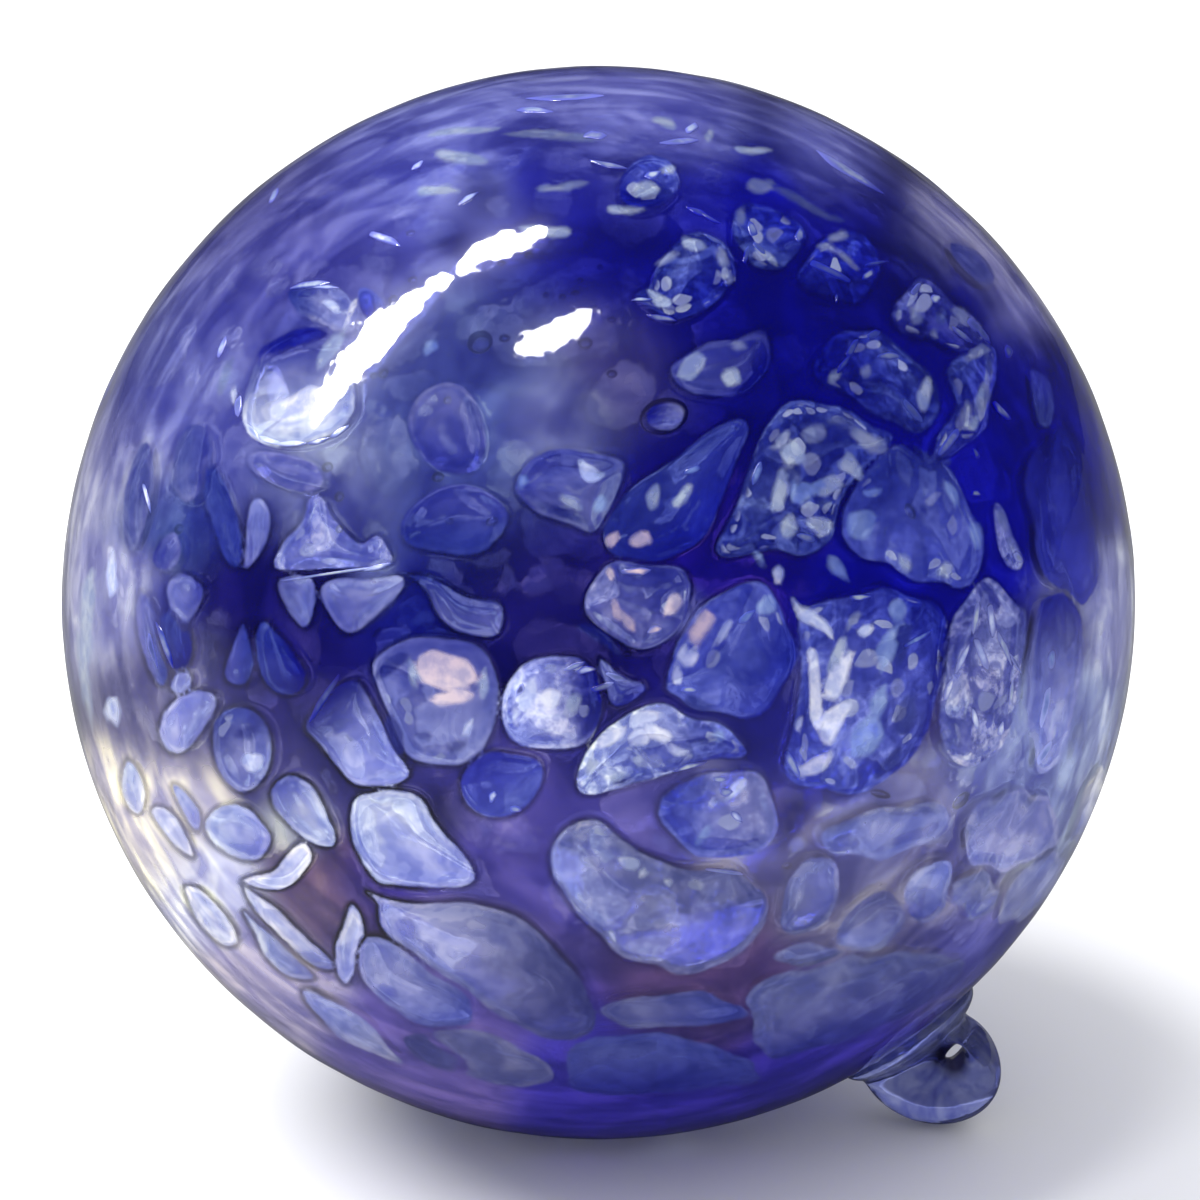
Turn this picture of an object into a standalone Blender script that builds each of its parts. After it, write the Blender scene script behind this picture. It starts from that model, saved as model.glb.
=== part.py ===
# Witch ball: a sealed, blown glass ball with a hot-applied glass loop, lying on its side.
#
# Units are metres and +Z is up. The origin is the middle of the flat spot that the ball rests on, so the
# floor is the plane z = 0. The loop leans out and down towards +X, with its eye's hole along Y.

import math

import bmesh
import bpy
from mathutils import Matrix, Vector

# Sizes of the ball
BALL_DIAMETER = 0.125
REST_SPOT_DIAMETER = 0.018

# Sizes of the loop, in its own plane: "along" runs along the ball's surface and "out" away from its middle.
# The loop was folded over by hand, so it is thick on one side of the eye and thin on the other.
LOOP_STAND_OUT = 0.0133
LOOP_WIDTH = 0.0150
LOOP_DEPTH = 0.0084
LOOP_SINK = 0.0026
LOOP_SHIFT = 0.0022
LOOP_SKEW = 0.20
EYE_WIDTH = 0.0044
EYE_HEIGHT = 0.0030
THIN_SIDE = 0.0015
EYE_OUT = 0.0053
PAD_LENGTH = 0.0192
PAD_DEPTH = 0.0160
PAD_HEIGHT = 0.0034
PAD_SHIFT = 0.0016
EYE_ALONG = LOOP_SHIFT - LOOP_WIDTH / 2 + THIN_SIDE + EYE_WIDTH / 2

# Clearances
SEAT_GAP = 0.0003
FLOOR_GAP = 0.0002

# Fineness of the meshes
BALL_SIDES = 72
BALL_RINGS = 36
RING_SIDES = 56
ROD_SIDES = 24
LOOP_VOXEL = 0.0009
LOOP_SMOOTHING = 8
SEAT_SIDES = 160

BALL_RADIUS = BALL_DIAMETER / 2
REST_SPOT_RADIUS = REST_SPOT_DIAMETER / 2
CENTRE_HEIGHT = math.sqrt(BALL_RADIUS**2 - REST_SPOT_RADIUS**2)

COBALT_GLASS = (0.03, 0.045, 0.42, 1.0)
CLEAR_BLUE_GLASS = (0.35, 0.42, 0.72, 1.0)


def clear_scene():
    """Removes whatever the file opened with."""
    for old in list(bpy.data.objects):
        bpy.data.objects.remove(old)


def glass(name, colour, roughness):
    """A Principled glass of one colour."""
    material = bpy.data.materials.new(name)
    material.use_nodes = True
    shader = material.node_tree.nodes["Principled BSDF"]
    shader.inputs["Base Color"].default_value = colour
    shader.inputs["Roughness"].default_value = roughness
    shader.inputs["Metallic"].default_value = 0.0
    shader.inputs["IOR"].default_value = 1.52
    shader.inputs["Transmission Weight"].default_value = 0.8
    return material


def object_from(name, rings, closed_ring, material=None):
    """A mesh object skinned over rings of points. Each ring has as many points as the next.

    closed_ring joins the last ring to the first, as on a torus. Otherwise both end rings are capped.
    """
    mesh = bmesh.new()
    rows = [[mesh.verts.new(point) for point in ring] for ring in rings]
    pairs = list(zip(rows, rows[1:]))
    if closed_ring:
        pairs.append((rows[-1], rows[0]))
    for low, high in pairs:
        for i in range(len(low)):
            j = (i + 1) % len(low)
            mesh.faces.new((low[i], low[j], high[j], high[i]))
    if not closed_ring:
        mesh.faces.new(reversed(rows[0]))
        mesh.faces.new(rows[-1])
    bmesh.ops.recalc_face_normals(mesh, faces=mesh.faces)
    data = bpy.data.meshes.new(name)
    mesh.to_mesh(data)
    mesh.free()
    data.shade_smooth()
    obj = bpy.data.objects.new(name, data)
    bpy.context.scene.collection.objects.link(obj)
    if material is not None:
        data.materials.append(material)
    return obj


def circle(radius, height, sides):
    """A level ring of points round the Z axis."""
    turns = [2 * math.pi * i / sides for i in range(sides)]
    return [Vector((radius * math.cos(t), radius * math.sin(t), height)) for t in turns]


def make_ball():
    """The blown ball: a sphere cut flat where it rests, with its foot ring on the floor."""
    foot_angle = math.asin(REST_SPOT_RADIUS / BALL_RADIUS)
    crown_angle = math.pi - math.pi / BALL_RINGS / 2
    rings = []
    for i in range(BALL_RINGS):
        angle = foot_angle + (crown_angle - foot_angle) * i / (BALL_RINGS - 1)
        height = CENTRE_HEIGHT - BALL_RADIUS * math.cos(angle)
        rings.append(circle(BALL_RADIUS * math.sin(angle), height, BALL_SIDES))
    return object_from("glass_ball", rings, False, glass("cobalt_glass", COBALT_GLASS, 0.05))


def sphere_rings(radius, sides):
    """Rings of a full sphere round the origin."""
    half = sides // 2
    angles = [math.pi * (i + 0.5) / half for i in range(half)]
    return [circle(radius * math.sin(a), -radius * math.cos(a), sides) for a in angles]


def loop_outline(turn):
    """A point of the loop's outer edge, a leaning oval whose lower part is sunk in the ball."""
    half_height = (LOOP_STAND_OUT + LOOP_SINK) / 2
    out = half_height * math.sin(turn)
    along = LOOP_SHIFT + LOOP_WIDTH / 2 * math.cos(turn) - LOOP_SKEW * out
    return Vector((along, 0, BALL_RADIUS + LOOP_STAND_OUT - half_height + out))


def eye_outline(turn):
    """A point of the oval eye's edge."""
    along = EYE_ALONG + EYE_WIDTH / 2 * math.cos(turn)
    return Vector((along, 0, BALL_RADIUS + EYE_OUT + EYE_HEIGHT / 2 * math.sin(turn)))


def loop_rings():
    """The drawn loop as a closed run of ovals round its eye. Local Y runs through the eye."""
    rings = []
    for i in range(RING_SIDES):
        turn = 2 * math.pi * i / RING_SIDES
        outer, inner = loop_outline(turn), eye_outline(turn)
        middle, half = (outer + inner) / 2, (outer - inner) / 2
        ring = []
        for k in range(ROD_SIDES):
            spin = 2 * math.pi * k / ROD_SIDES
            depth = Vector((0, LOOP_DEPTH / 2 * math.sin(spin), 0))
            ring.append(middle + half * math.cos(spin) + depth)
        rings.append(ring)
    return rings


def pad_rings():
    """The pad that the loop grew from: a flattened drop lying on the ball."""
    rings = sphere_rings(1.0, ROD_SIDES * 2)
    stretch = Matrix.Diagonal((PAD_LENGTH / 2, PAD_DEPTH / 2, PAD_HEIGHT))
    return [[stretch @ p + Vector((PAD_SHIFT, 0, BALL_RADIUS)) for p in ring] for ring in rings]


def boolean(obj, other, operation):
    """Joins other to obj or cuts it away, and leaves it out of the part."""
    step = obj.modifiers.new(operation.lower() + "_" + other.name, "BOOLEAN")
    step.operation = operation
    step.object = other
    step.solver = "EXACT"
    other.hide_render = True
    other.display_type = "WIRE"


def loop_lean():
    """The angle from straight down at which the loop's outer edge clears the floor by FLOOR_GAP."""
    edge = [loop_outline(2 * math.pi * i / RING_SIDES) for i in range(RING_SIDES)]
    lean, step = 0.0, math.radians(0.05)
    while lean < math.pi / 2:
        reach_down = max(p.z * math.cos(lean) + p.x * math.sin(lean) for p in edge)
        if CENTRE_HEIGHT - reach_down >= FLOOR_GAP:
            return lean
        lean += step
    return lean


def make_loop():
    """The loop with its pad, seated on the ball with a thin gap."""
    ball_middle = bpy.data.objects.new("ball_middle", None)
    ball_middle.location = (0, 0, CENTRE_HEIGHT)
    ball_middle.rotation_euler = (0, math.pi - loop_lean(), 0)
    bpy.context.scene.collection.objects.link(ball_middle)

    loop = object_from("hanging_loop", loop_rings(), True, glass("loop_glass", CLEAR_BLUE_GLASS, 0.04))
    pad = object_from("pad", pad_rings(), False)
    seat = object_from("seat", sphere_rings(BALL_RADIUS + SEAT_GAP, SEAT_SIDES), False)
    for piece in (loop, pad, seat):
        piece.parent = ball_middle

    boolean(loop, pad, "UNION")
    melt = loop.modifiers.new("melt_together", "REMESH")
    melt.mode = "VOXEL"
    melt.voxel_size = LOOP_VOXEL
    fire_polish = loop.modifiers.new("fire_polish", "SMOOTH")
    fire_polish.factor = 0.5
    fire_polish.iterations = LOOP_SMOOTHING
    boolean(loop, seat, "DIFFERENCE")
    return loop


clear_scene()
make_ball()
make_loop()
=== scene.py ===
# %% [markdown]
# A witch ball is a sealed bubble of blown glass. Before it was blown up, the hot glass was rolled in chips of
# paler glass, and they spread into clear lens-shaped pebbles with cobalt veins between them. A bit of clear
# glass over the seal was pulled into a loop, and by it the ball hangs in a window. Here it lies on its side.
#
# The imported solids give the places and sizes. They come in first, and everything below is measured from them.

# %% Load the fixed solids
import math

import bmesh
import bpy
import numpy as np
from mathutils import Matrix, Vector


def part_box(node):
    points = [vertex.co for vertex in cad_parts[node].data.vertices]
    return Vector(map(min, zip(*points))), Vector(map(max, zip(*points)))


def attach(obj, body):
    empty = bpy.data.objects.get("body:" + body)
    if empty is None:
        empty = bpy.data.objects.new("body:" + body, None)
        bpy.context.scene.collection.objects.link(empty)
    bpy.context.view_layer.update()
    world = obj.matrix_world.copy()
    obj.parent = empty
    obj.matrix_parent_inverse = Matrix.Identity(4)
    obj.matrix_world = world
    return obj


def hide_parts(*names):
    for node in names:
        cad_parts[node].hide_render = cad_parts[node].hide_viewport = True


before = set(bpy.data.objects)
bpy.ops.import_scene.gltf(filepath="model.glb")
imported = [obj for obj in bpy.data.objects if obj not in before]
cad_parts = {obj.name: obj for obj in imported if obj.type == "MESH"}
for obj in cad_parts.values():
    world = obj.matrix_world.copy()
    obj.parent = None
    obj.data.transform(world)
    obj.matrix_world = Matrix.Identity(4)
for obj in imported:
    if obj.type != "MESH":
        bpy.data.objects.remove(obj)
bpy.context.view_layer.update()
BALL_LOW, BALL_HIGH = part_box("glass_ball")
LOOP_LOW, LOOP_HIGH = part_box("hanging_loop")
BALL_RADIUS = (BALL_HIGH[0] - BALL_LOW[0]) / 2
REST_SPOT_RADIUS = 0.009
MILLIMETRE = 0.001
BALL_MIDDLE = Vector((0, 0, math.sqrt(BALL_RADIUS**2 - REST_SPOT_RADIUS**2)))
print("ball radius", round(BALL_RADIUS / MILLIMETRE, 2), "mm, its middle is at", tuple(BALL_MIDDLE))

# %% [markdown]
# The camera comes first, because the pebbles on the front are placed by where they show in the front view.
# A camera half a metre away sees a little less than half of the ball, and its lens is chosen so that the
# ball's edge lands on a circle of known size in the picture. The Standard view keeps cobalt as strong as it
# is.

# %% Camera at the photograph's angle
CAMERA_AZIMUTH = math.radians(13.5)
CAMERA_ELEVATION = math.radians(17.3)
CAMERA_DISTANCE = 0.5
PICTURE_SIZE = 1200
PHOTO_BALL_MIDDLE = (598.6, 602.5)
PHOTO_BALL_RADIUS = 539.2

toward_camera = Vector((
    math.sin(CAMERA_AZIMUTH) * math.cos(CAMERA_ELEVATION),
    -math.cos(CAMERA_AZIMUTH) * math.cos(CAMERA_ELEVATION),
    math.sin(CAMERA_ELEVATION),
))
picture_right = Vector((math.cos(CAMERA_AZIMUTH), math.sin(CAMERA_AZIMUTH), 0))
picture_up = toward_camera.cross(picture_right)

edge_angle = math.asin(BALL_RADIUS / CAMERA_DISTANCE)
camera_data = bpy.data.cameras.new("front_camera")
camera_data.lens = camera_data.sensor_width * PHOTO_BALL_RADIUS / PICTURE_SIZE / math.tan(edge_angle)
camera_data.shift_x = (PICTURE_SIZE / 2 - PHOTO_BALL_MIDDLE[0]) / PICTURE_SIZE
camera_data.shift_y = (PHOTO_BALL_MIDDLE[1] - PICTURE_SIZE / 2) / PICTURE_SIZE
camera = bpy.data.objects.new("front_camera", camera_data)
camera.location = BALL_MIDDLE + toward_camera * CAMERA_DISTANCE
camera.rotation_euler = toward_camera.to_track_quat("Z", "Y").to_euler()
bpy.context.scene.collection.objects.link(camera)
bpy.context.scene.camera = camera
bpy.context.scene.view_settings.view_transform = "Standard"
print("lens", round(camera_data.lens, 1), "mm")

# %% [markdown]
# Each pebble on the front has a name, the tint of its lit side and of its shaded side, the angle at which the
# shaded side lies (0 is right, 90 is up), how much it sparkles, and its outline in picture pixels. The two
# tints are painted shade: each pebble is painted lighter on one side and darker on the other. One pixel is
# about 0.12 mm on the ball. Five numbers are an oval: middle, half length, half width and turn. More are
# corners of a rounded shape. Such a list is slower to write than noise is, but a glassblower's pebbles follow
# no rule, and the large ones make the likeness.

# %% Pebbles on the front
TINTS = {
    "ink": (0.0003, 0.0008, 0.13),
    "cobalt": (0.0014, 0.0029, 0.18),
    "navy": (0.0038, 0.0074, 0.22),
    "royal": (0.014, 0.023, 0.18),
    "denim": (0.019, 0.030, 0.19),
    "slate": (0.015, 0.020, 0.29),
    "dusk": (0.040, 0.047, 0.235),
    "steel": (0.086, 0.098, 0.26),
    "sky": (0.055, 0.074, 0.38),
    "haze": (0.12, 0.13, 0.34),
    "mist": (0.17, 0.19, 0.43),
    "lilac": (0.24, 0.26, 0.48),
    "lavender": (0.33, 0.35, 0.64),
    "pale": (0.39, 0.43, 0.77),
    "pearl": (0.55, 0.61, 0.77),
    "milk": (0.92, 0.92, 0.95),
}
PEBBLES = {
    "crackled_dome": ("royal", "denim", 215, 0.3, (
        717, 550, 740, 497, 762, 440, 787, 407, 810, 400, 847, 410, 873, 423, 892, 438, 870, 457, 847, 490,
        838, 515, 835, 540, 813, 553, 780, 555, 747, 557)),
    "window_pane": ("sky", "royal", 100, 0.05, (
        900, 445, 930, 452, 953, 477, 973, 507, 985, 540, 982, 570, 963, 583, 930, 580, 893, 567, 863, 557,
        845, 540, 847, 507, 863, 473, 880, 452)),
    "broken_mirror": ("royal", "ink", 190, 0.22, (
        813, 367, 820, 347, 843, 330, 873, 327, 897, 340, 920, 360, 937, 383, 942, 407, 930, 423, 907, 430,
        880, 417, 857, 400, 830, 387)),
    "two_squares": ("dusk", "ink", -40, 0.0, (
        670, 363, 690, 350, 727, 337, 760, 330, 770, 350, 765, 370, 740, 390, 713, 397, 680, 380)),
    "gravel": ("dusk", "ink", 250, 0.35, (
        895, 303, 917, 280, 937, 283, 957, 300, 980, 323, 993, 343, 973, 350, 947, 347, 917, 333, 897, 323)),
    "milky_tail": ("slate", "royal", 150, 0.3, (
        970, 350, 997, 347, 1000, 373, 993, 400, 990, 423, 970, 437, 950, 457, 937, 453, 940, 433, 957, 407,
        950, 373)),
    "shards": ("navy", "ink", -70, 0.2, (
        802, 275, 813, 253, 833, 230, 863, 233, 883, 257, 880, 280, 857, 300, 830, 297)),
    "shards_left": ("denim", "navy", 60, 0.2, (
        737, 207, 753, 200, 780, 207, 803, 227, 803, 243, 780, 270, 757, 270, 743, 247, 733, 230)),
    "frosted_corner": ("denim", "navy", 300, 0.2, (
        657, 263, 677, 240, 697, 230, 723, 237, 735, 257, 735, 277, 723, 297, 703, 313, 673, 320, 647, 307,
        633, 297, 653, 280)),
    # The blister's pale lower right and dark upper left are painted light and shade of the air bubble.
    "big_blister": ("haze", "cobalt", 150, 0.0, (665, 413, 22, 16, 20)),
    "top_step": ("cobalt", "sky", 60, 0.1, (650, 180, 30, 27, 10)),
    "wedge": ("denim", "navy", -45, 0.0, (
        600, 530, 623, 500, 660, 470, 703, 440, 740, 417, 753, 427, 740, 460, 723, 500, 703, 540, 663, 555,
        613, 557)),
    "moon_disc": ("dusk", "steel", -50, 0.0, (
        517, 480, 530, 458, 560, 447, 600, 449, 623, 468, 613, 503, 593, 530, 573, 523, 540, 520, 520, 497)),
    "cream_panes": ("dusk", "haze", 215, 0.08, (
        597, 573, 613, 562, 653, 560, 680, 567, 692, 587, 690, 607, 683, 630, 657, 647, 623, 643, 593, 625,
        583, 600)),
    "cream_edge": ("sky", "navy", -20, 0.06, (
        663, 690, 670, 657, 690, 623, 713, 600, 740, 587, 767, 590, 787, 610, 797, 637, 795, 663, 780, 693,
        767, 713, 740, 723, 713, 713, 680, 697)),
    "frost_river": ("sky", "navy", 35, 0.14, (
        805, 610, 833, 600, 857, 590, 900, 588, 930, 600, 950, 620, 950, 653, 940, 687, 933, 723, 913, 760,
        890, 780, 867, 793, 830, 793, 803, 783, 787, 763, 793, 727, 797, 690, 800, 647)),
    "almond": ("lilac", "haze", 90, 0.15, (
        983, 580, 1000, 583, 1017, 600, 1027, 623, 1023, 660, 1020, 693, 1013, 723, 1003, 750, 980, 767,
        957, 763, 943, 747, 942, 713, 945, 673, 950, 640, 963, 607)),
    "almond_shadow": ("pale", "cobalt", 90, 0.0, (
        1037, 613, 1053, 593, 1080, 607, 1087, 647, 1080, 697, 1070, 740, 1057, 770, 1037, 770, 1032, 730,
        1030, 680)),
    "long_grey": ("slate", "ink", 60, 0.0, (
        1028, 483, 1037, 453, 1057, 427, 1080, 440, 1090, 483, 1100, 540, 1100, 590, 1080, 607, 1057, 587,
        1040, 560, 1033, 520)),
    "long_grey_top": ("royal", "slate", 90, 0.0, (
        1033, 370, 1047, 373, 1055, 393, 1053, 417, 1043, 423, 1036, 400)),
    "small_window": ("mist", "haze", 180, 0.15, (
        993, 510, 1007, 515, 1019, 537, 1025, 562, 1008, 560, 997, 537)),
    "half_dome": ("pearl", "sky", -10, 0.2, (
        580, 787, 583, 760, 597, 737, 620, 717, 647, 707, 673, 707, 703, 720, 730, 737, 749, 753, 720, 763,
        687, 770, 653, 780, 620, 793, 593, 797)),
    "half_dome_foot": ("haze", "sky", 200, 0.08, (
        661, 797, 690, 783, 723, 772, 750, 767, 767, 780, 777, 807, 777, 833, 763, 853, 733, 863, 703, 857,
        677, 840, 657, 820)),
    "lavender_large": ("lilac", "haze", -40, 0.05, (
        550, 847, 573, 825, 597, 825, 625, 838, 650, 860, 675, 867, 713, 873, 747, 877, 763, 897, 767, 920,
        753, 943, 727, 963, 690, 973, 647, 967, 613, 950, 590, 933, 570, 903, 552, 877)),
    "white_round": ("pale", "cobalt", 0, 0.12, (
        503, 720, 503, 697, 517, 673, 540, 658, 570, 657, 593, 670, 600, 693, 598, 717, 585, 742, 558, 753,
        525, 745)),
    "white_tail": ("mist", "navy", -60, 0.1, (600, 662, 623, 672, 645, 685, 630, 700, 612, 700, 604, 680)),
    "rose_round": ("dusk", "mist", 250, 0.03, (
        370, 663, 390, 647, 417, 638, 447, 635, 473, 643, 490, 667, 498, 693, 494, 722, 482, 745, 458, 765,
        430, 765, 409, 755, 396, 735, 386, 711, 376, 688)),
    "pale_wedge": ("pale", "ink", 135, 0.0, (
        303, 727, 317, 700, 340, 680, 357, 680, 371, 707, 389, 740, 407, 767, 400, 780, 377, 783, 350, 782,
        333, 767, 313, 743)),
    "blue_foot": ("sky", "slate", 110, 0.0, (
        458, 780, 470, 760, 493, 747, 517, 752, 537, 767, 540, 787, 527, 810, 503, 822, 480, 813, 463, 797)),
    "pale_sail": ("pearl", "pale", 300, 0.0, (
        352, 797, 367, 790, 390, 788, 417, 800, 433, 820, 453, 843, 467, 867, 473, 880, 460, 888, 433, 888,
        400, 885, 377, 883, 360, 867, 352, 843, 350, 820)),
    "long_lavender": ("lavender", "dusk", -30, 0.0, (
        367, 893, 390, 900, 423, 905, 467, 903, 503, 910, 533, 930, 560, 957, 583, 987, 597, 1013, 590, 1037,
        570, 1043, 543, 1040, 517, 1027, 487, 1010, 460, 990, 433, 973, 407, 950, 387, 937, 377, 920,
        377, 903)),
    "low_lavender": ("lavender", "sky", -60, 0.0, (
        355, 965, 358, 940, 380, 938, 410, 957, 440, 979, 468, 1000, 473, 1020, 453, 1030, 423, 1027,
        393, 1013, 370, 993)),
    "small_lens": ("milk", "pale", 270, 0.0, (350, 907, 360, 920, 362, 940, 355, 963, 345, 985, 335, 973,
                                             333, 950, 340, 927)),
    "left_crescent": ("lavender", "lilac", -20, 0.0, (
        157, 740, 163, 717, 183, 695, 207, 695, 213, 707, 203, 727, 187, 747, 170, 753)),
    "left_disc": ("lilac", "denim", 110, 0.05, (
        213, 720, 227, 710, 247, 710, 263, 723, 271, 747, 268, 770, 257, 787, 240, 795, 223, 783, 213, 763,
        212, 740)),
    "left_tooth": ("pearl", "mist", 130, 0.0, (
        270, 793, 287, 779, 307, 787, 323, 807, 333, 827, 331, 845, 313, 843, 290, 827, 273, 810)),
    "left_cup": ("pearl", "lavender", -10, 0.0, (
        203, 827, 217, 810, 240, 807, 260, 823, 268, 840, 258, 856, 240, 858, 220, 850, 207, 840)),
    # From crescent_tip to low_leaf, by the lower left edge, the milk tints are partly the pebbles' own pale
    # glass and partly painted light from the bright floor seen through the thin wall.
    "crescent_tip": ("milk", "milk", 0, 0.0, (
        300, 840, 309, 857, 300, 877, 283, 890, 263, 890, 237, 881, 253, 873, 272, 868, 284, 853)),
    "edge_leaf": ("milk", "milk", 0, 0.0, (150, 810, 163, 810, 183, 833, 192, 857, 177, 853, 160, 833)),
    "edge_leaf_high": ("milk", "pearl", 90, 0.0, (130, 788, 30, 11, -78)),
    "white_leaf": ("milk", "milk", 0, 0.0, (180, 887, 197, 887, 220, 913, 238, 943, 220, 947, 197, 923)),
    "long_leaf": ("milk", "mist", -50, 0.0, (
        240, 887, 260, 900, 293, 927, 320, 953, 332, 969, 313, 967, 287, 947, 260, 920)),
    "rose_leaf": ("lilac", "pearl", 200, 0.0, (
        243, 913, 260, 931, 293, 957, 313, 980, 287, 979, 263, 955)),
    "low_leaf": ("pale", "lilac", -60, 0.0, (
        300, 992, 327, 999, 360, 1019, 390, 1050, 400, 1067, 373, 1057, 340, 1040, 313, 1013)),
    "edge_streak_mid": ("haze", "royal", 0, 0.0, (150, 640, 50, 12, -78)),
    "left_triangle": ("mist", "dusk", 0, 0.0, (
        163, 587, 180, 570, 200, 578, 200, 593, 187, 617, 180, 632, 170, 610)),
    "left_almond": ("haze", "lilac", 90, 0.0, (
        242, 540, 247, 507, 257, 497, 267, 507, 267, 530, 253, 557, 243, 563)),
    "left_gable": ("mist", "mist", 60, 0.1, (
        273, 567, 280, 540, 300, 520, 310, 497, 323, 499, 333, 517, 358, 541, 377, 530, 391, 550, 390, 563,
        360, 568, 317, 573)),
    "left_floor": ("lilac", "haze", -90, 0.0, (
        320, 590, 340, 580, 373, 577, 398, 577, 405, 587, 390, 603, 373, 617, 350, 630, 335, 624, 322, 607)),
    "left_post": ("mist", "steel", 180, 0.0, (
        277, 580, 303, 580, 313, 590, 313, 613, 303, 633, 290, 623, 279, 600)),
    "middle_kite": ("haze", "denim", 90, 0.0, (
        407, 579, 440, 585, 457, 589, 493, 599, 500, 617, 493, 640, 470, 633, 440, 617, 423, 592)),
    "left_spear": ("denim", "dusk", 180, 0.0, (
        240, 623, 247, 645, 252, 668, 243, 687, 225, 683, 228, 657)),
    "left_shade": ("royal", "ink", 0, 0.0, (
        253, 640, 262, 625, 275, 640, 292, 655, 305, 668, 300, 685, 280, 690, 262, 680)),
    "middle_cloud": ("denim", "dusk", 90, 0.0, (455, 520, 55, 38, 10)),
    "bright_dome": ("pearl", "dusk", 100, 0.0, (
        240, 417, 243, 390, 257, 357, 287, 343, 323, 340, 347, 357, 353, 390, 350, 417, 330, 437, 300, 443,
        270, 440, 250, 433)),
    "upper_crescent": ("mist", "royal", 160, 0.06, (
        287, 290, 307, 282, 333, 287, 353, 303, 360, 317, 350, 333, 327, 335, 303, 323, 290, 307)),
    "blue_knob": ("sky", "cobalt", -90, 0.0, (357, 287, 373, 287, 388, 303, 380, 317, 363, 313)),
    "left_mist": ("steel", "dusk", 0, 0.0, (190, 462, 42, 20, 80)),
    "left_mist_low": ("denim", "denim", 0, 0.0, (218, 508, 58, 14, -72)),
    "left_mist_edge": ("steel", "steel", 0, 0.0, (135, 500, 55, 14, 82)),
    "dome_apron": ("haze", "haze", -60, 0.0, (285, 470, 42, 18, -25)),
    "low_cloud": ("lilac", "lilac", 0, 0.0, (
        823, 838, 850, 820, 900, 808, 945, 808, 955, 825, 930, 845, 880, 858, 835, 858)),
    "low_cloud_right": ("lavender", "lavender", 0, 0.0, (
        965, 830, 985, 803, 1020, 792, 1050, 800, 1062, 825, 1055, 855, 1025, 872, 985, 868, 967, 850)),
    "low_pebble_a": ("lavender", "steel", -90, 0.0, (812, 897, 42, 28, 65)),
    "low_pebble_b": ("haze", "lilac", -90, 0.0, (873, 925, 40, 26, 40)),
    "low_pebble_c": ("pale", "haze", -90, 0.0, (930, 893, 36, 22, 65)),
    "low_pebble_d": ("lilac", "mist", -90, 0.0, (977, 897, 25, 24, 0)),
    "low_pebble_e": ("lilac", "pale", 0, 0.0, (1032, 888, 46, 22, 50)),
    "low_pebble_f": ("mist", "steel", -90, 0.0, (812, 957, 38, 12, 5)),
    "right_edge_leaf": ("pale", "milk", 90, 0.0, (
        1100, 770, 1110, 777, 1103, 807, 1087, 837, 1073, 843, 1077, 820, 1087, 790)),
    "bottom_slab": ("haze", "sky", 0, 0.0, (
        600, 1010, 640, 997, 700, 995, 745, 1010, 740, 1025, 680, 1030, 620, 1028)),
    "bottom_slab_right": ("mist", "slate", -70, 0.0, (
        752, 990, 820, 965, 900, 955, 960, 960, 965, 975, 930, 1005, 880, 1030, 820, 1050, 770, 1060,
        754, 1030)),
    "bottom_pane": ("sky", "slate", -90, 0.0, (
        570, 1052, 600, 1037, 660, 1036, 720, 1050, 755, 1065, 758, 1082, 700, 1093, 620, 1097, 573, 1093)),
    "bottom_pane_left": ("haze", "haze", -60, 0.0, (
        427, 1037, 457, 1027, 507, 1043, 540, 1060, 553, 1080, 520, 1090, 473, 1080, 440, 1060)),
    "tall_mist": ("dusk", "steel", 90, 0.0, (448, 428, 47, 38, -60)),
    "dome_cap": ("navy", "ink", 90, 0.0, (292, 347, 40, 14, 15)),
    "left_bead": ("dusk", "haze", 0, 0.0, (
        150, 560, 160, 545, 172, 535, 180, 545, 178, 560, 165, 572, 152, 570)),
    "slim_leaf": ("lavender", "pearl", 90, 0.0, (
        170, 783, 180, 786, 190, 800, 198, 815, 198, 834, 190, 830, 178, 810)),
    "left_hat": ("lilac", "lilac", 0, 0.0, (168, 690, 175, 675, 188, 675, 188, 690, 178, 697)),
    "left_dusk": ("royal", "ink", -60, 0.0, (172, 640, 34, 18, -75)),
    "under_lavender": ("dusk", "dusk", 0, 0.0, (
        402, 1040, 428, 1036, 462, 1046, 478, 1064, 455, 1075, 420, 1064)),
    "right_top_leaf": ("dusk", "dusk", 0, 0.0, (975, 262, 28, 12, -42)),
}
print(len(PEBBLES), "pebbles on the front")
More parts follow.
